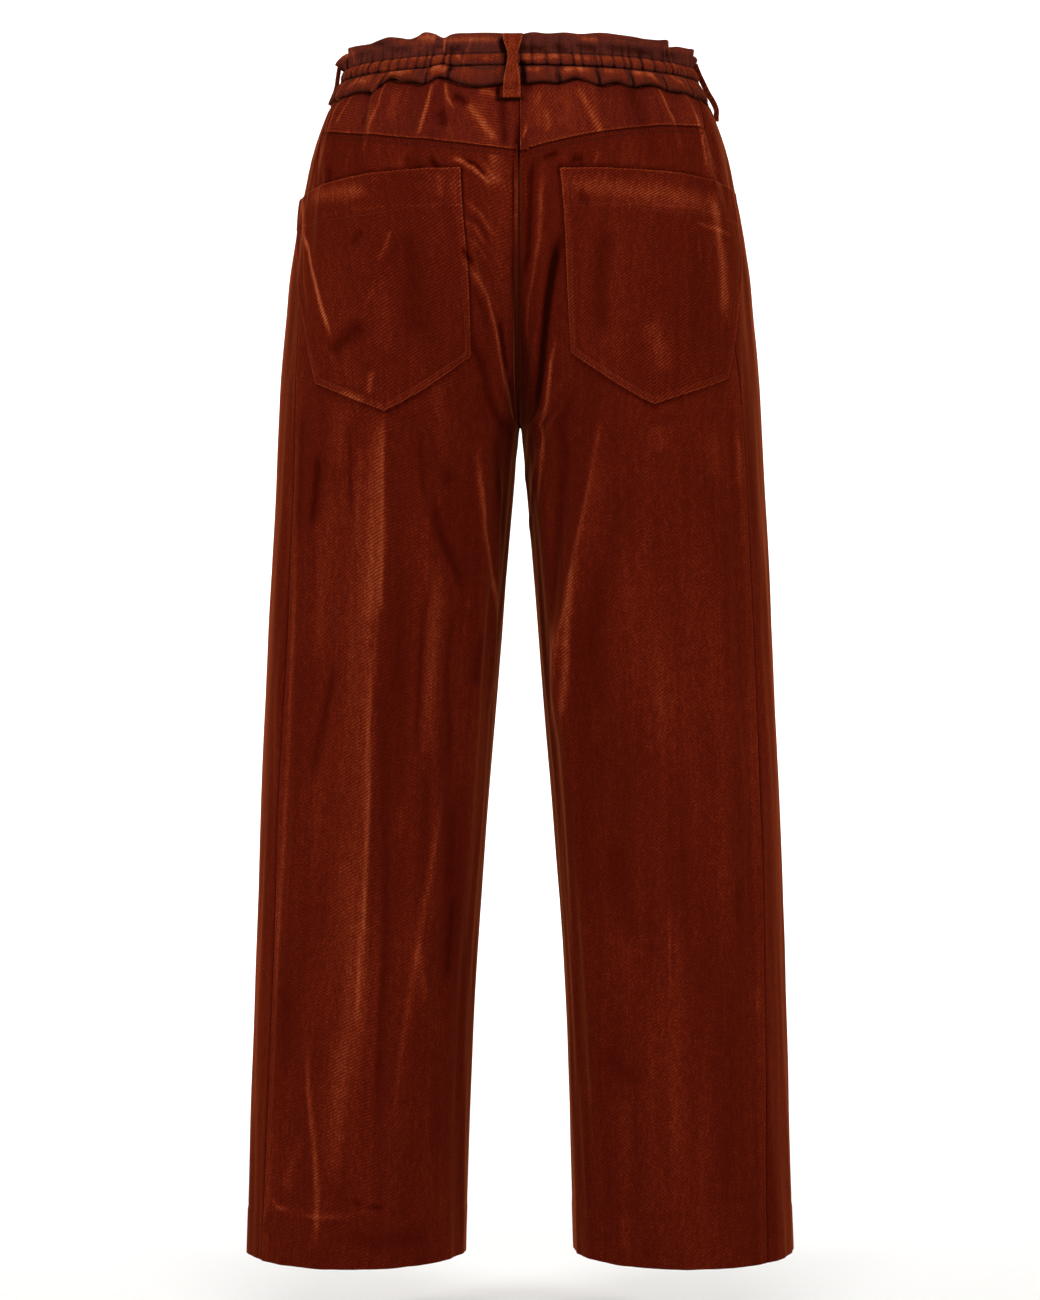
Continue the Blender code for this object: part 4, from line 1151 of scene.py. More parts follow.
def yoke_place(side, share, down):
    """A yoke's place. Down is 0 at the waist seam, 1 at the curved seam and less than 0 inside the band."""
    share, down = np.broadcast_arrays(np.asarray(share, float), np.asarray(down, float))
    foot = YOKE_AT_SIDE - yoke_dip(side, share) + SEAM_GAP / 2
    turn = SEAM[side](foot) * share
    top = waist_seam(share_round(side, turn)) - SEAM_GAP / 2
    z = np.where(down < 0, top - down * YOKE_TALL, top + (foot - top) * down)
    last = SEAM[side](z) - seam_gap_turn(z)
    turn = last * share
    from_middle, from_side = turn * MM_PER_DEGREE, (last - turn) * MM_PER_DEGREE
    lift = roll(from_side, 0.9) + roll(from_middle, 0.9) + roll(z - foot, 0.7, 0.9)
    lift += under_band(side, turn, top - z)
    if side == "left":
        lift += groove(from_middle, 2.0, 6.0) * ease((-z - 40) / 40)
    # a painted highlight along the yoke's lower edge, painted shade and highlight at the centre back, and the
    # painted shadow under the band
    pile_and_light = 0.17 * mark(z - foot, 0.4, 0.8) + CENTRE_SHADE[side] * mark(from_middle, 0.3, 1.1)
    pile_and_light = pile_and_light + under_seam(top - z)
    return on_cloth(side, turn, z, lift, pile_and_light)


yokes = {}
for side in ("left", "right"):
    shares = spread(YOKE_WIDE, 1.2, lap_start=side == "left", lap_end=True) / YOKE_WIDE
    downs = np.concatenate([BAND_LAP, spread(YOKE_TALL, 1.3, lap_start=True)]) / YOKE_TALL
    places, away, pile_and_light = yoke_place(side, shares[None, :], downs[:, None])
    yokes[side] = lay_cloth(f"velvet_yoke_{side}", places, away, pile_and_light, velvet_yoke[side], cotton_back)
    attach(yokes[side], "root")
    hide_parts(f"yoke_{side}")

# %% [markdown]
# ## Patch pockets
# A pocket is a five-sided patch with its edges pressed under and sewn down, and a deep facing inside its
# mouth. It lies on the seat, so its points are the seat's own, moved out. Towards the sewn edges it comes
# down to the seat, a row of stitches 6 mm inside them holds it, and the facing's edge shows as a line.

# %% Make the pockets
def pocket_place(side, across, down):
    """A pocket's place, by the shares of the way across it and down it."""
    turn, z = pocket_turns(side, across, down)
    on_seat = on_cloth(side, turn, z)[0].reshape(-1, 3)
    from_sewn, from_mouth = (nearest(on_seat, edge).reshape(turn.shape) for edge in pocket_edges(side))
    lift = POCKET_LIFT - 1.1 * np.exp(-((from_sewn / 1.1) ** 1.4)) + roll(from_mouth, 0.5, 0.9)
    lift += groove(from_sewn - POCKET_STITCH, 0.5, 1.0) + groove(from_mouth - FACING, 0.35, 1.0)
    lift += plateau(from_sewn, 0.30, -3, POCKET_STITCH, 1.2) + plateau(from_mouth, 0.25, -3, FACING, 1.6)
    # painted highlights along the pocket's edges and, fainter, between its edges and its stitches; a painted
    # highlight along the facing's edge and painted shade along the stitch row
    pile_and_light = 0.19 * mark(np.minimum(from_sewn, from_mouth), 0.2, 0.9)
    pile_and_light = pile_and_light + 0.05 * plateau(from_sewn, 1, 1, POCKET_STITCH, 1)
    pile_and_light = pile_and_light + 0.07 * mark(from_mouth, FACING, 0.8) - 0.05 * mark(from_sewn, POCKET_STITCH, 0.8)
    return on_cloth(side, turn, z, lift, pile_and_light)


pockets = {}
for side in ("left", "right"):
    across = spread(POCKET_WIDE, 1.5, edge=EDGE_STEPS[:8]) / POCKET_WIDE
    across = np.unique(np.append(across, 0.5))  # a line of points runs down to the tip
    down = spread(POCKET_TALL, 1.5, edge=EDGE_STEPS[:8]) / POCKET_TALL
    places, away, pile_and_light = pocket_place(side, across[None, :], down[:, None])
    pockets[side] = lay_cloth(f"velvet_pocket_{side}", places, away, pile_and_light, velvet_pocket, cotton_back,
                              1.3 * MM)
    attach(pockets[side], "root")
    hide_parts(f"pocket_{side}")

# %% [markdown]
# ## The gathered waistband
# The band is one long strip, folded over along its top and drawn up by an elastic in a sewn channel. So it
# has three zones: puffs below the channel, tight gathers on it, and a frill above that waves in and out. It
# is one closed sheet, up the outside, over the fold and down the inside. Its fullness is drawn rather than
# simulated, since a simulated gather would need a far finer mesh to look as soft.

# %% The frill's waves and the loops that hold it flat
# share round the waist, height of the fold, and how far it waves out
FRILL = np.array([
    (0.000, 19.0, 0.5), (0.020, 20.2, 1.5), (0.045, 20.6, 2.0), (0.064, 20.2, 0.8), (0.0713, 18.3, -0.8),
    (0.080, 21.5, 2.0), (0.0906, 23.0, 3.2), (0.099, 20.5, 1.2), (0.107, 19.3, 0.0), (0.120, 21.0, 1.6),
    (0.132, 22.3, 3.0), (0.150, 21.0, 2.0), (0.1635, 20.0, 1.0), (0.180, 20.3, 2.0), (0.198, 20.5, 4.4),
    (0.2055, 20.3, 5.0), (0.2135, 18.5, -0.6), (0.224, 17.5, 4.0), (0.240, 13.8, 8.4), (0.252, 12.4, 9.4),
    (0.264, 15.0, 6.0), (0.280, 19.0, 0.0), (0.300, 20.6, 3.0), (0.325, 19.5, -0.8), (0.352, 21.0, 3.0),
    (0.380, 20.0, 0.0), (0.405, 21.2, 3.4), (0.435, 19.6, -0.6), (0.465, 20.8, 2.4), (0.495, 19.8, 0.2),
    (0.525, 21.0, 3.0),
    (0.550, 19.8, -0.4), (0.580, 20.9, 2.8), (0.610, 19.6, 0.0), (0.640, 21.2, 3.4), (0.668, 19.4, -0.8),
    (0.695, 20.6, 2.6), (0.722, 19.6, -0.6), (0.736, 18.6, 2.4), (0.752, 15.4, 3.8), (0.768, 16.6, 3.0),
    (0.7795, 18.4, -1.4), (0.7875, 19.8, 5.0), (0.800, 19.6, 3.2), (0.820, 19.2, 1.0), (0.8375, 18.6, -1.8),
    (0.8455, 21.2, 5.0), (0.858, 20.8, 3.0), (0.875, 20.6, 1.4), (0.890, 21.1, 2.2), (0.9043, 21.6, 1.8),
    (0.9256, 22.0, 2.6), (0.945, 20.4, 1.2), (0.960, 20.9, 2.0), (0.975, 20.0, 0.8), (0.990, 20.6, 1.6),
    (1.000, 19.0, 0.5),
])
LOOPS = {"back": 0.0065, "left": 0.243, "right": 0.757}
LOOP_FLAT = 8.0  # a loop holds the band flat this far to each side, in mm
frill_top, frill_out = round_line(FRILL, 1), round_line(FRILL, 2)


def freedom(share):
    """0 where a belt loop holds the band flat, and 1 away from them."""
    free = 1.0
    for place in LOOPS.values():
        apart = np.abs(np.asarray(share) % 1.0 - place)
        apart = np.minimum(apart, 1 - apart) * WAIST_ROUND
        free = free * (1 - np.exp(-((apart / LOOP_FLAT) ** 2)))
    return free


def round_waist(share, z, out):
    """Places round the waist. Share 0 is the centre back, and 0.25 the left side."""
    share, z, out = np.broadcast_arrays(np.asarray(share, float) % 1.0, np.asarray(z, float), out)
    turn = 720 * np.minimum(share, 1 - share)
    away = outward(turn, z)
    point = form(turn, z) + away * out[..., None]
    mirror = np.where(share > 0.5, -1.0, 1.0)
    point[..., 0] *= mirror
    away[..., 0] *= mirror
    return point * MM, away


# %% The gathers
GATHERS = 96
random = np.random.default_rng(7)


def gather_phase(seed):
    """A function from share to a count that grows by one over each gather, of uneven widths."""
    widths = np.random.default_rng(seed).uniform(0.40, 1.75, GATHERS)
    marks = np.concatenate([[0], np.cumsum(widths)]) / widths.sum()
    return lambda share: np.interp(np.asarray(share) % 1.0, marks, np.arange(GATHERS + 1))


phase = gather_phase(3)
high = random.uniform(0.35, 1.30, GATHERS)
lean = random.uniform(-1.2, 1.2, GATHERS)
CALM = (0.016, 0.052)  # beside the back loop the elastic lies nearly flat


def calm(share):
    """Less than 1 where the elastic lies nearly flat."""
    share = np.asarray(share) % 1.0
    return 1 - 0.75 * ease((share - CALM[0]) / 0.006) * ease((CALM[1] - share) / 0.006)


def in_gather(share, z):
    """Which gather a place is on, and where on it, from 0 to 1."""
    count = phase(share)
    k = np.minimum(count.astype(int), GATHERS - 1)
    within = count - k
    bend = 0.14 * np.sin(math.pi * within) * lean[k] * (z / 8.0)
    return k, np.clip(within + bend, 0, 1)


def gathers(share, z):
    """Rounded ridges with sharp valleys between them, about -0.6 to 0.6, that lean a little."""
    k, within = in_gather(share, z)
    return high[k] * calm(share) * (np.abs(np.sin(math.pi * within)) ** 0.65 - 0.6)


def gather_shade(share, z):
    """Dark in the valleys between the gathers, and light on their tops."""
    k, within = in_gather(share, z)
    in_valley = mark(np.minimum(within, 1 - within), 0, 0.11)
    return high[k] * calm(share) * (0.07 * np.sin(math.pi * within) - 0.28 * in_valley)


# %% The band's three zones
# shares of the way from the band's seam up to its fold
CHANNEL_FROM = 0.34
CHANNEL_TO = 0.61
FRILL_FROM = 0.612
BAND_TALL = 43.0  # mm of cloth from the seam to the fold
BAND_THICK = 2.2
CHANNEL_LOW, CHANNEL_HIGH = -5.6, 4.8  # heights of the channel's two rows of stitches
PUFF_PLACE, PUFF_WIDE, PUFF_RISE = 0.0713, 0.0085, 2.6  # a narrow puff that stands up over the channel


def band_profile():
    """Rows of the band from its seam up the outside: a share from the seam to the fold."""
    puffs, channel, frill = np.linspace(0, 0.3, 13), np.linspace(0.3, 0.58, 16), np.linspace(0.58, 1, 15)
    return np.concatenate([puffs, channel[1:], frill[1:]])


def band_parts(up):
    """How far up a place is in the puffs below the channel, in the channel and in the frill, each 0 to 1."""
    bounds = (0, CHANNEL_FROM, CHANNEL_TO, 1)
    return [np.clip((up - start) / (end - start), 0, 1) for start, end in zip(bounds, bounds[1:])]


def by_zone(up, puffs, channel, frill):
    """One value for the puffs, one for the channel and one for the frill."""
    return np.where(up < CHANNEL_FROM, puffs, np.where(up < CHANNEL_TO, channel, frill))


def channel_edges(share):
    """The lower and the upper stitch line of the channel. Each gather pushes them apart, like a pillow."""
    k, within = in_gather(share, 0.0)
    pillow = high[k] * calm(share) * (np.sin(math.pi * within) ** 0.6 - 0.6) * freedom(share)
    raised = PUFF_RISE * np.exp(-(((np.asarray(share) % 1.0 - PUFF_PLACE) / PUFF_WIDE) ** 2))
    return CHANNEL_LOW - 1.0 * pillow + raised, CHANNEL_HIGH + 0.8 * pillow


def band_height(share, up):
    """The height of a place on the band."""
    below, channel, frill = band_parts(up)
    seam, fold_top = waist_seam(share) + SEAM_GAP / 2, frill_top(share)
    channel_low, channel_high = channel_edges(share)
    in_channel = channel_low + (channel_high - channel_low) * channel
    on_frill = channel_high + (fold_top - channel_high) * frill
    return by_zone(up, seam + (channel_low - seam) * below, in_channel, on_frill)


def gather_strength(up, fade, left_over=0.0):
    """How strong the gathers are: growing up the puffs, full on the channel and fading on the frill."""
    below, _, frill = band_parts(up)
    on_frill = 0.75 * (1 - frill) ** fade + left_over
    return by_zone(up, 0.10 + 0.8 * below ** 2.5, 1.0, on_frill)


def panel_at_seam(share):
    """How far the panels' folds stand out at the waist seam, so that the band stands out with them."""
    share = np.asarray(share, float) % 1.0
    turn = 720 * np.minimum(share, 1 - share)
    z = waist_seam(share)
    left, right = (broad_folds(side, turn, z) + along_lines(CREASES, side, turn, z)
                   for side in ("left", "right"))
    return np.where(share <= 0.5, left, right)


def roll_in(below):
    """The band turns in at its seam."""
    return 1.5 * np.exp(-((below * 14) ** 1.5) / 3)


def band_out(share, up):
    """How far the band's outer face stands off the form."""
    free = freedom(share)
    below, channel, frill = band_parts(up)
    bulge = np.sin(math.pi * below ** 0.8) ** 0.5 * (0.5 + 3.8 * between_tucks(share) * (0.4 + 0.6 * free))
    out = 0.9 + 0.3 * below + panel_at_seam(share) * (1 - below)
    out = out + by_zone(up, bulge - roll_in(below), 2.2 * np.sin(math.pi * channel) ** 0.6, 0)
    gathered = gather_strength(up, 2.5, 0.03) * gathers(share, band_height(share, up))
    out = out + 2.7 * gathered * (0.35 + 0.65 * free)
    out = out + frill_out(share) * frill ** 1.15 + 0.5 * np.sin(math.pi * frill) ** 2
    for line in (CHANNEL_FROM, CHANNEL_TO):
        out = out + groove((up - line) * BAND_TALL, 1.0, 0.9)
    # the elastic draws the band in at the side seams
    for name, deep in (("left", 2.0), ("right", 4.2)):
        from_loop = (np.asarray(share) % 1.0 - LOOPS[name]) * WAIST_ROUND
        out = out + groove(from_loop, deep, 15) * (1 - frill)
    return out


# %% Painted light and shade on the band, and its pile
BAND_PROUD = 3  # mm, how far the band stands off the form


def on_band(x, y):
    """The way round the waist, in 720 parts, and the height that are seen at a place in the photograph."""
    depth = 0.1
    for _ in range(60):
        scale = CAMERA_AWAY / (CAMERA_AWAY - depth) / PIXEL * MM
        z = (PICTURE_MIDDLE[1] - y) / scale + CAMERA_HEIGHT / MM
        outer, back = (np.interp(z, SECTIONS[::-1, 0], SECTIONS[::-1, k]) + BAND_PROUD for k in (1, 5))
        half_turn = math.asin(np.clip((PICTURE_MIDDLE[0] - x) / scale / outer, -1, 1))
        depth = (depth + back * math.cos(half_turn) * MM) / 2
    return round(2 * math.degrees(half_turn) % 720, 1), round(z, 1)


# width in mm, how much lighter in mark units, and the line in pixels of the photograph. Most are painted
# highlights and painted shade of the gathers and the frill's waves, and the last two are the painted shadows
# beside the back belt loop
BAND_PHOTO_MARKS = [
    (0.8, 24, (443, 39, 443, 46, 443, 53)), (1, 11, (471, 39, 465, 53)),
    (3.2, 10, (446, 39, 475, 38, 500, 39)), (2.4, 24, (419, 38, 428, 37, 437, 39)),
    (3.2, -18, (437, 41, 438, 49)), (3.2, -14, (449, 50, 462, 46)), (3.2, -16, (375, 43, 396, 48, 412, 46)),
    (2.4, 10, (412, 50, 425, 47)), (3.2, -14, (357, 54, 372, 50)), (0.8, 16, (353.5, 46, 353.5, 66)),
    (4.1, -44, (346, 62, 343, 78)), (2, 8, (398, 58, 438, 58)), (1.5, 26, (457, 54, 461, 60, 466, 66)),
    (2.4, 22, (486, 59, 493, 59)), (1, 14, (428, 54, 436, 62)), (1.1, -22, (426.5, 55, 426.5, 67)),
    (2.4, -44, (451, 66, 453, 71)), (1.3, -30, (464, 64, 475, 68, 484, 69, 501, 67)),
    (2.8, 30, (384, 71, 400, 73, 415, 68)), (2.4, 26, (346, 89, 359, 81, 371, 82)),
    (3.2, -12, (420, 70, 421, 78)), (4.1, 32, (431, 68, 441, 68, 447, 72)), (0.9, 22, (378, 84, 384, 72)),
    (2.4, 11, (520, 39, 580, 38, 640, 41)), (2.4, 18, (584, 39, 600, 40)), (2.8, -16, (522, 47, 546, 48)),
    (2.8, -14, (557, 46, 570, 51)), (2.8, -14, (579, 45, 600, 49)), (3.2, -16, (610, 47, 657, 54)),
    (3.2, -24, (667, 55, 677, 54)), (0.8, 14, (663.5, 47, 667, 60)), (1, 16, (690, 64, 688, 56)),
    (2.4, 24, (522, 59, 545, 57, 567, 55)), (2, 14, (574, 58, 592, 59)), (2, 8, (600, 59, 616, 59)),
    (1.3, -26, (522, 64.5, 556, 65, 600, 66, 626, 67)), (1.2, -32, (556.5, 66, 557, 82)),
    (2.4, 26, (526, 69, 541, 70)), (3.2, 30, (562, 71, 575, 68, 592, 71)), (2.4, 18, (605, 71, 619, 71)),
    (2.4, 30, (634, 72, 650, 75, 661, 86)), (1.3, 24, (671, 76, 684, 88)), (1.6, 14, (689, 83, 698, 91)),
    (2.4, -8, (600, 70, 602, 82)), (1.1, -26, (629.5, 68, 630, 85)),
    (2, -55, (501, 40, 506.5, 60, 507, 90)), (2.4, -64, (523, 62, 523.5, 78, 523.5, 90)),
]
BAND_MARKS = [("band", width, strength, from_photo(on_band, line))
              for width, strength, line in BAND_PHOTO_MARKS]


def band_pile_and_light(share, up):
    """Painted light and shade on the band, and its pile: dark along the stitches and in the valleys, light on
    the puffs.
    """
    z = band_height(share, up)
    below, channel, frill = band_parts(up)
    # painted shade in the gathers' valleys and painted light on their tops, and painted shade over the lower
    # frill
    pile_and_light = gather_strength(up, 1.8) * gather_shade(share, z) - 0.09 * ease(frill / 0.15) * (1 - 0.7 * frill)
    # light falls from above, so each pillow is light on top and dark below
    pile_and_light = pile_and_light + by_zone(up, 0.13 * below ** 1.5 * between_tucks(share) - 0.02, 0.24 * (channel - 0.45), 0)
    # painted shade along the channel's stitch lines, in the shadow at the band's seam and in the tucks
    pile_and_light = pile_and_light - 0.21 * mark((up - CHANNEL_FROM) * BAND_TALL, 0.3, 1.1)
    pile_and_light = pile_and_light - 0.16 * mark((up - CHANNEL_TO) * BAND_TALL, 0, 0.8)
    pile_and_light = pile_and_light - 0.34 * mark(up * BAND_TALL, 0, 1.0) - 0.36 * near_tuck(share, 1.3) * (1 - below) ** 0.4
    marks = along_lines(BAND_MARKS, "band", share % 1.0 * 720, z, 0.25, WAIST_ROUND / 720)
    pile_and_light = pile_and_light + MARK_UNIT * (1 + 0.9 * (up > CHANNEL_TO)) * marks
    # a painted highlight along each step of the frill, painted light and shade on the two faces of its waves,
    # and a painted highlight along its fold
    slope = (frill_out(share + 0.002) - frill_out(share - 0.002)) / 4
    steps = 0.10 * np.clip(np.abs(slope) - 0.3, 0, 1.5) + 0.13 * np.tanh(2 * slope)
    return pile_and_light + steps * frill ** 0.5 + 0.05 * mark(frill, 1.0, 0.10)


# %% Places of the band's points
COLUMNS = 1300
shares = np.arange(COLUMNS + 1) / COLUMNS
up = band_profile()
outside_z = band_height(shares[None, :], up[:, None])
outside_out = band_out(shares[None, :], up[:, None])
outer, _ = round_waist(shares[None, :], outside_z, outside_out)
# over the fold: a half round of the band's thickness
fold = np.radians(np.array([36, 72, 108, 144]))[:, None]
top_z, top_out = outside_z[-1:], outside_out[-1:]
over, _ = round_waist(shares[None, :], top_z + BAND_THICK / 2 * np.sin(fold),
                      top_out - BAND_THICK / 2 * (1 - np.cos(fold)))
inner_up = up[::-3]  # the inside is hidden, so fewer rows will do
inside, _ = round_waist(shares[None, :], band_height(shares[None, :], inner_up[:, None]),
                        band_out(shares[None, :], inner_up[:, None]) - BAND_THICK)
band_places = np.concatenate([outer, over, inside])
pile_rows = np.concatenate([up, np.ones(len(over)), inner_up])
pile_and_light_on_band = band_pile_and_light(shares[None, :], pile_rows[:, None])
band_places[:, -1] = band_places[:, 0]
print("waistband rows and columns:", band_places.shape[:2])

# %% Make the waistband
MAP_ROW = 10  # the row of the puffs along which the way round is measured
closed = np.concatenate([band_places, band_places[:1]])
band, row, column = grid_on(closed, "velvet_waistband")
mesh = band.data
across, down = distance_along(closed, 1), distance_along(closed, 0)
keep_map(mesh, -across[MAP_ROW][column], down[row, column])
keep_pile_and_light(mesh, np.concatenate([pile_and_light_on_band, pile_and_light_on_band[:1]])[row, column])
mesh.update()
mesh.materials.append(velvet_band)
mesh.materials.append(velvet_frill)
# each face finds its row from its first point, and takes the frill's finish above the channel
on_frill = (np.concatenate([pile_rows, pile_rows[:1]]) > FRILL_FROM)[row]
finish = np.array([on_frill[p.vertices[0]] for p in mesh.polygons], np.int32)
mesh.polygons.foreach_set("material_index", finish)
alone(band)
bpy.ops.object.mode_set(mode="EDIT")
bpy.ops.mesh.select_all(action="SELECT")
bpy.ops.mesh.remove_doubles(threshold=0.00002)
bpy.ops.mesh.normals_make_consistent(inside=False)
bpy.ops.object.mode_set(mode="OBJECT")
bpy.ops.object.shade_smooth_by_angle(angle=math.radians(75))
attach(band, "root")
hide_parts("waistband")
print(f"waistband: {sum(len(p.vertices) - 2 for p in mesh.polygons)} triangles, "
      f"cloth {sum(p.area for p in mesh.polygons) / 2:.4f} m2")

# %% [markdown]
# ## Belt loops
# Each loop is a strip folded in four and tacked above and below the channel, so that it stands off the band
# between. The one at the centre back is drawn together over the channel. It could be cut from a block, but
# a sheet with a thickness keeps the strip's even edge.

# %% Make the loops
# height, how far the outer face stands off the form, and width
LOOP_SHAPES = {"back": np.array([
    (20.5, 4.4, 16.4), (18.5, 4.8, 16), (15.5, 5.0, 15), (10, 6.4, 11.6), (5, 8.0, 8.6), (1, 9.0, 7.4),
    (-3, 9.8, 8.2), (-8, 10.2, 9.6), (-16, 10.2, 12.6), (-22, 8.8, 13.6), (-27, 4.6, 14), (-30, 3.4, 14),
    (-32.5, 3.0, 13.8)]), "left": np.array([
    (10, 7.6, 12), (8, 7.8, 12), (5, 7.6, 11), (0, 6.8, 10), (-5, 5.8, 10), (-10, 5.0, 10), (-14, 4.4, 11),
    (-18, 3.6, 12), (-21, 3.2, 12)]), "right": np.array([
    (12, 4.4, 12), (9, 4.8, 12), (3, 5.6, 11), (-4, 6.8, 10), (-12, 7.4, 10), (-20, 7.4, 11),
    (-27, 6.4, 11.5), (-31.5, 4.2, 12), (-35, 3.0, 12)])}
LOOP_CLOTH = {"back": 2.3, "left": 3.4, "right": 4.2}  # thickness
# across a loop: where its points are, how it is hollowed, and a painted highlight along its edges
LOOP_ACROSS = np.array([-1, -0.86, -0.62, -0.3, 0, 0.3, 0.62, 0.86, 1])
LOOP_HOLLOW = np.array([-0.5, 0.05, 0.12, -0.02, -0.1, -0.02, 0.12, 0.05, -0.5])
LOOP_EDGE_HIGHLIGHT = np.array([0.22, 0.10, 0.02, 0.05, 0.04, 0.05, 0.02, 0.10, 0.22])
LOOP_LIGHT = {"back": 0.08, "left": -0.04, "right": -0.04}
loops = {}
for name, place in LOOPS.items():
    table = LOOP_SHAPES[name]
    fine = np.linspace(table[0, 0], table[-1, 0], 34)
    out, width = (smooth_line(table[::-1, 0], table[::-1, k])(fine) for k in (1, 2))
    middle, away = round_waist(place, fine, out)
    sideways = np.cross(away, (0, 0, 1))
    pinch = np.exp(-(((fine - 2) / 7) ** 2)) * (1.6 if name == "back" else 0.3)
    hollow = LOOP_HOLLOW[None, :] * (1 + pinch[:, None])
    from_middle = LOOP_ACROSS[None, :, None] * width[:, None, None] / 2 * MM
    places = middle[:, None, :] + sideways[:, None, :] * from_middle
    places = places + away[:, None, :] * hollow[..., None] * MM
    aways = np.repeat(away[:, None, :], len(LOOP_ACROSS), 1)
    loops[name] = lay_cloth(f"velvet_belt_loop_{name}", places, aways, LOOP_EDGE_HIGHLIGHT[None, :] + LOOP_LIGHT[name],
                            velvet_loop, velvet_loop, LOOP_CLOTH[name] * MM, 70)
    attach(loops[name], "root")
    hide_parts(f"belt_loop_{name}")

# %% [markdown]
# ## Stitches
# A lock stitch shows as a short thread that sinks into the pile at both ends. One stitch is modelled, as a
# slim six-sided bead, and copied along each seam: two rows under the yoke, round the pockets and along their
# facings, and along the elastic's channel. All of one seam's stitches are one mesh.

# %% One stitch, and rows of them
STITCH_LONG, STITCH_STEP, STITCH_THICK = 2.5, 3.1, 0.42  # mm
bpy.ops.object.select_all(action="DESELECT")
bpy.ops.mesh.primitive_uv_sphere_add(segments=6, ring_count=5, radius=0.5)
bead = bpy.context.object
alone(bead)
bpy.ops.object.mode_set(mode="EDIT")
bpy.ops.mesh.select_all(action="SELECT")
bpy.ops.transform.rotate(value=math.radians(90), orient_axis="Y", center_override=(0, 0, 0))
bpy.ops.transform.resize(value=(STITCH_LONG * MM, STITCH_THICK * MM, STITCH_THICK * 0.7 * MM),
                         center_override=(0, 0, 0))
bpy.ops.object.mode_set(mode="OBJECT")
bead_points = np.array([v.co[:] for v in bead.data.vertices])
bead_faces = [list(p.vertices) for p in bead.data.polygons]
bpy.data.objects.remove(bead, do_unlink=True)


def stitch_row(lines):
    """Stitches along lines of close points with their outward directions, as points and faces."""
    points, faces = [], []
    for places, away, *_ in lines:
        along = distance_along(places, 0) / MM
        middles = np.arange(STITCH_STEP / 2, along[-1] - STITCH_STEP / 2, STITCH_STEP)
        ends = [np.stack([np.interp(middles + half, along, places[:, k]) for k in range(3)], -1)
                for half in (-STITCH_LONG / 2, STITCH_LONG / 2)]
        out = np.stack([np.interp(middles, along, away[:, k]) for k in range(3)], -1)
        for first, last, up_way in zip(*ends, out):
            x = (last - first) / max(np.linalg.norm(last - first), 1e-9)
            y = np.cross(up_way, x)
            y /= max(np.linalg.norm(y), 1e-9)
            start = len(points) * len(bead_points)
            points.append((first + last) / 2 + bead_points @ np.stack([x, y, np.cross(x, y)]))
            faces += [[start + k for k in face] for face in bead_faces]
    return np.concatenate(points), faces


def sew(name, lines):
    """One mesh of the stitches along some lines."""
    points, faces = stitch_row(lines)
    mesh = bpy.data.meshes.new(name)
    mesh.from_pydata(points.tolist(), [], faces)
    mesh.materials.append(thread)
    mesh.shade_smooth()
    sewn = bpy.data.objects.new(name, mesh)
    bpy.context.scene.collection.objects.link(sewn)
    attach(sewn, "root")
    print(f"{name}: {len(points) // len(bead_points)} stitches")
    return sewn


# %% Sew
fine = np.linspace(0.004, 0.996, 500)
for side in ("left", "right"):
    yoke_lines = [back_place(side, fine, YOKE_AT_SIDE - below) for below in STITCH_ROWS]
    sew(f"stitches_yoke_{side}", yoke_lines)
    # down both sides, along the two slanting edges at the foot, and along the facing
    inset, foot = POCKET_STITCH / POCKET_WIDE, 1 - POCKET_STITCH / POCKET_TALL
    facing = FACING / POCKET_TALL
    corners = [((inset, 0.01), (inset, foot)), ((inset, foot), (0.5, foot)), ((0.5, foot), (1 - inset, foot)),
               ((1 - inset, 0.01), (1 - inset, foot)), ((inset, facing), (1 - inset, facing))]
    ways = [np.linspace(start, end, 300).T for start, end in corners]
    sew(f"stitches_pocket_{side}", [pocket_place(side, *way) for way in ways])
ring = np.linspace(0, 1, 2400)
band_lines = []
for line in (CHANNEL_FROM, CHANNEL_TO):
    up = np.full_like(ring, line)
    band_lines.append(round_waist(ring, band_height(ring, up), band_out(ring, up) + 0.05))
sew("stitches_waistband", band_lines)

# %% [markdown]

# %% [markdown]
# ## Floor, light and air
# The photograph has a white ground and soft light from all round. A pale floor that curves up into a wall
# gives that without a horizon. Soft lamps stand to both sides and above, towards the camera, because light
# from one place would leave half of the folds black. One more lights the far side, and two wash the wall.

# %% Floor
FLOOR = -1.05
BEND_FROM, BEND_ROUND, BEND_STEPS = -3.5, 3.0, 32  # where the floor starts to curve up, and its radius
WALL_TOP = 9.0
HALF_WIDE = 14
bpy.ops.object.select_all(action="DESELECT")
bpy.ops.mesh.primitive_plane_add(size=1)
floor = bpy.context.object
floor.name = "studio_floor"
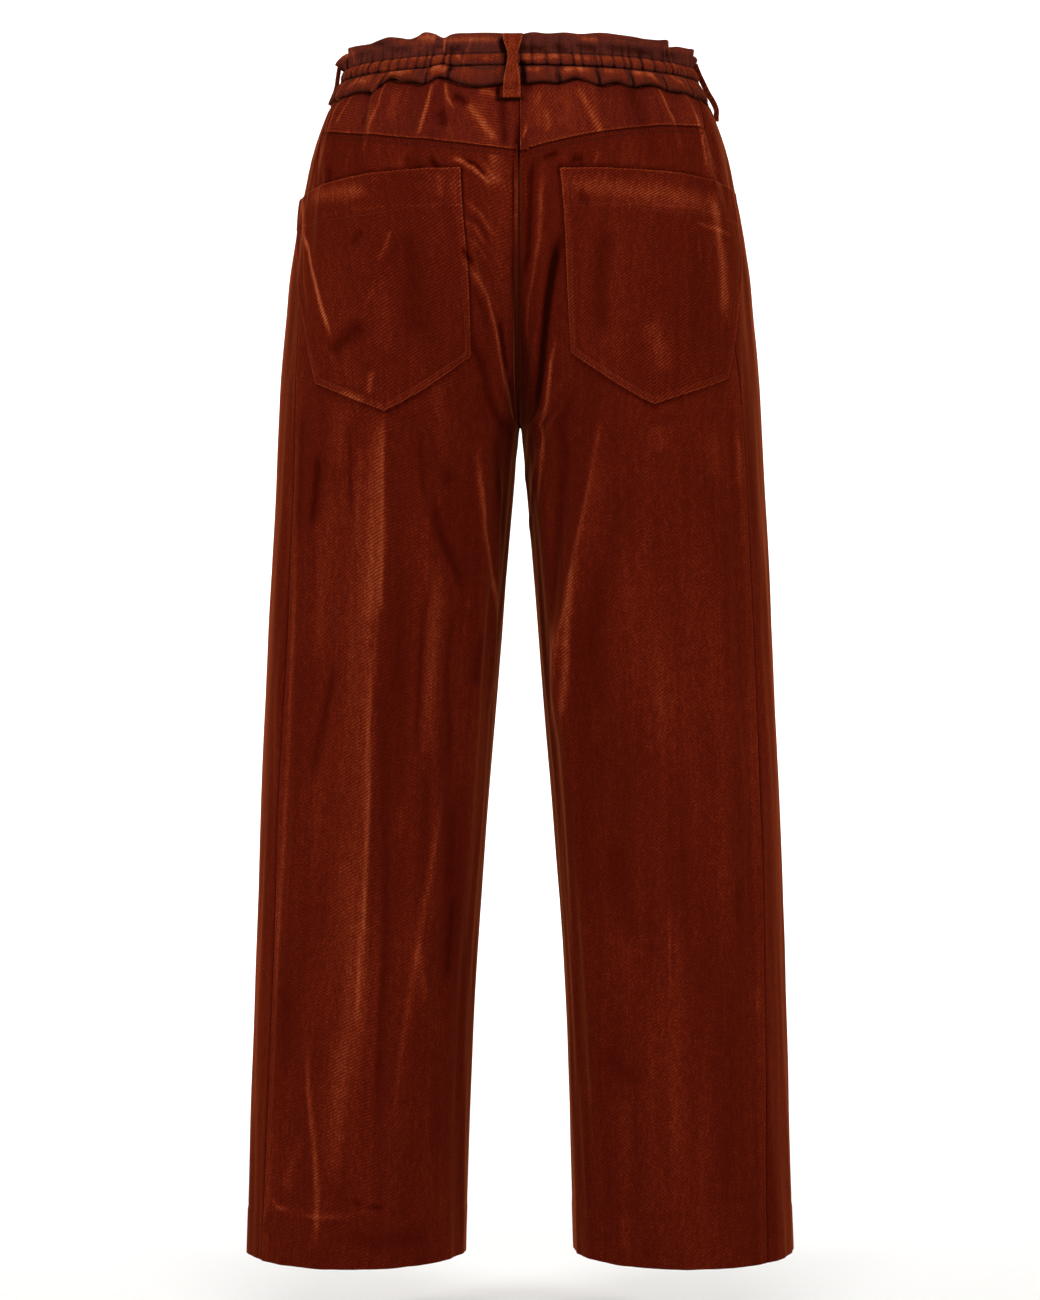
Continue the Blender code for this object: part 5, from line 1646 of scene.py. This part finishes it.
# depth and height, from the front edge to the top of the wall
profile = [(12.0, FLOOR), (1.0, FLOOR), (-1.5, FLOOR), (BEND_FROM, FLOOR)]
for k in range(1, BEND_STEPS + 1):
    bend = math.radians(90 * k / BEND_STEPS)
    profile.append((BEND_FROM - BEND_ROUND * math.sin(bend), FLOOR + BEND_ROUND * (1 - math.cos(bend))))
profile.append((BEND_FROM - BEND_ROUND, WALL_TOP))
mesh = bpy.data.meshes.new("studio_floor")
verts = [(x, y, z) for y, z in profile for x in (-HALF_WIDE, HALF_WIDE)]
mesh.from_pydata(verts, [], [(2 * k, 2 * k + 1, 2 * k + 3, 2 * k + 2) for k in range(len(profile) - 1)])
mesh.shade_smooth()
floor.data = mesh
paper, _, _ = new_material("matt_white_paper", {"Base Color": linear("#F6F5F3"), "Roughness": 0.95})
mesh.materials.append(paper)

# %% Light
bpy.context.scene.view_settings.view_transform = "Standard"
world = bpy.data.worlds.new("studio_air")
world.use_nodes = True
air = world.node_tree.nodes["Background"].inputs
air["Color"].default_value = (1, 1, 1, 1)
air["Strength"].default_value = 0.28
bpy.context.scene.world = world


def soft_lamp(name, place, target, size, watts):
    """A white square lamp turned to its target."""
    lamp = bpy.data.objects.new(name, bpy.data.lights.new(name, "AREA"))
    bpy.context.scene.collection.objects.link(lamp)
    lamp.location = place
    lamp.rotation_euler = (Vector(target) - Vector(place)).to_track_quat("-Z", "Y").to_euler()
    lamp.data.size = size
    lamp.data.energy = watts


soft_lamp("left_window", (2.3, 1.7, 0.7), (0, 0, -0.5), 0.9, 43)
soft_lamp("right_window", (-2.3, 1.7, 0.7), (0, 0, -0.5), 0.9, 37)
soft_lamp("top_window", (0, 1.6, 1.9), (0, 0.05, -0.4), 0.9, 26)
soft_lamp("far_window", (0, -1.4, 1.8), (0, 0, -0.5), 1.6, 24)
soft_lamp("wall_wash_left", (3.0, -2.6, 1.6), (0.9, -6.0, -0.2), 2.0, 170)
soft_lamp("wall_wash_right", (-3.0, -2.6, 1.6), (-0.9, -6.0, -0.2), 2.0, 170)
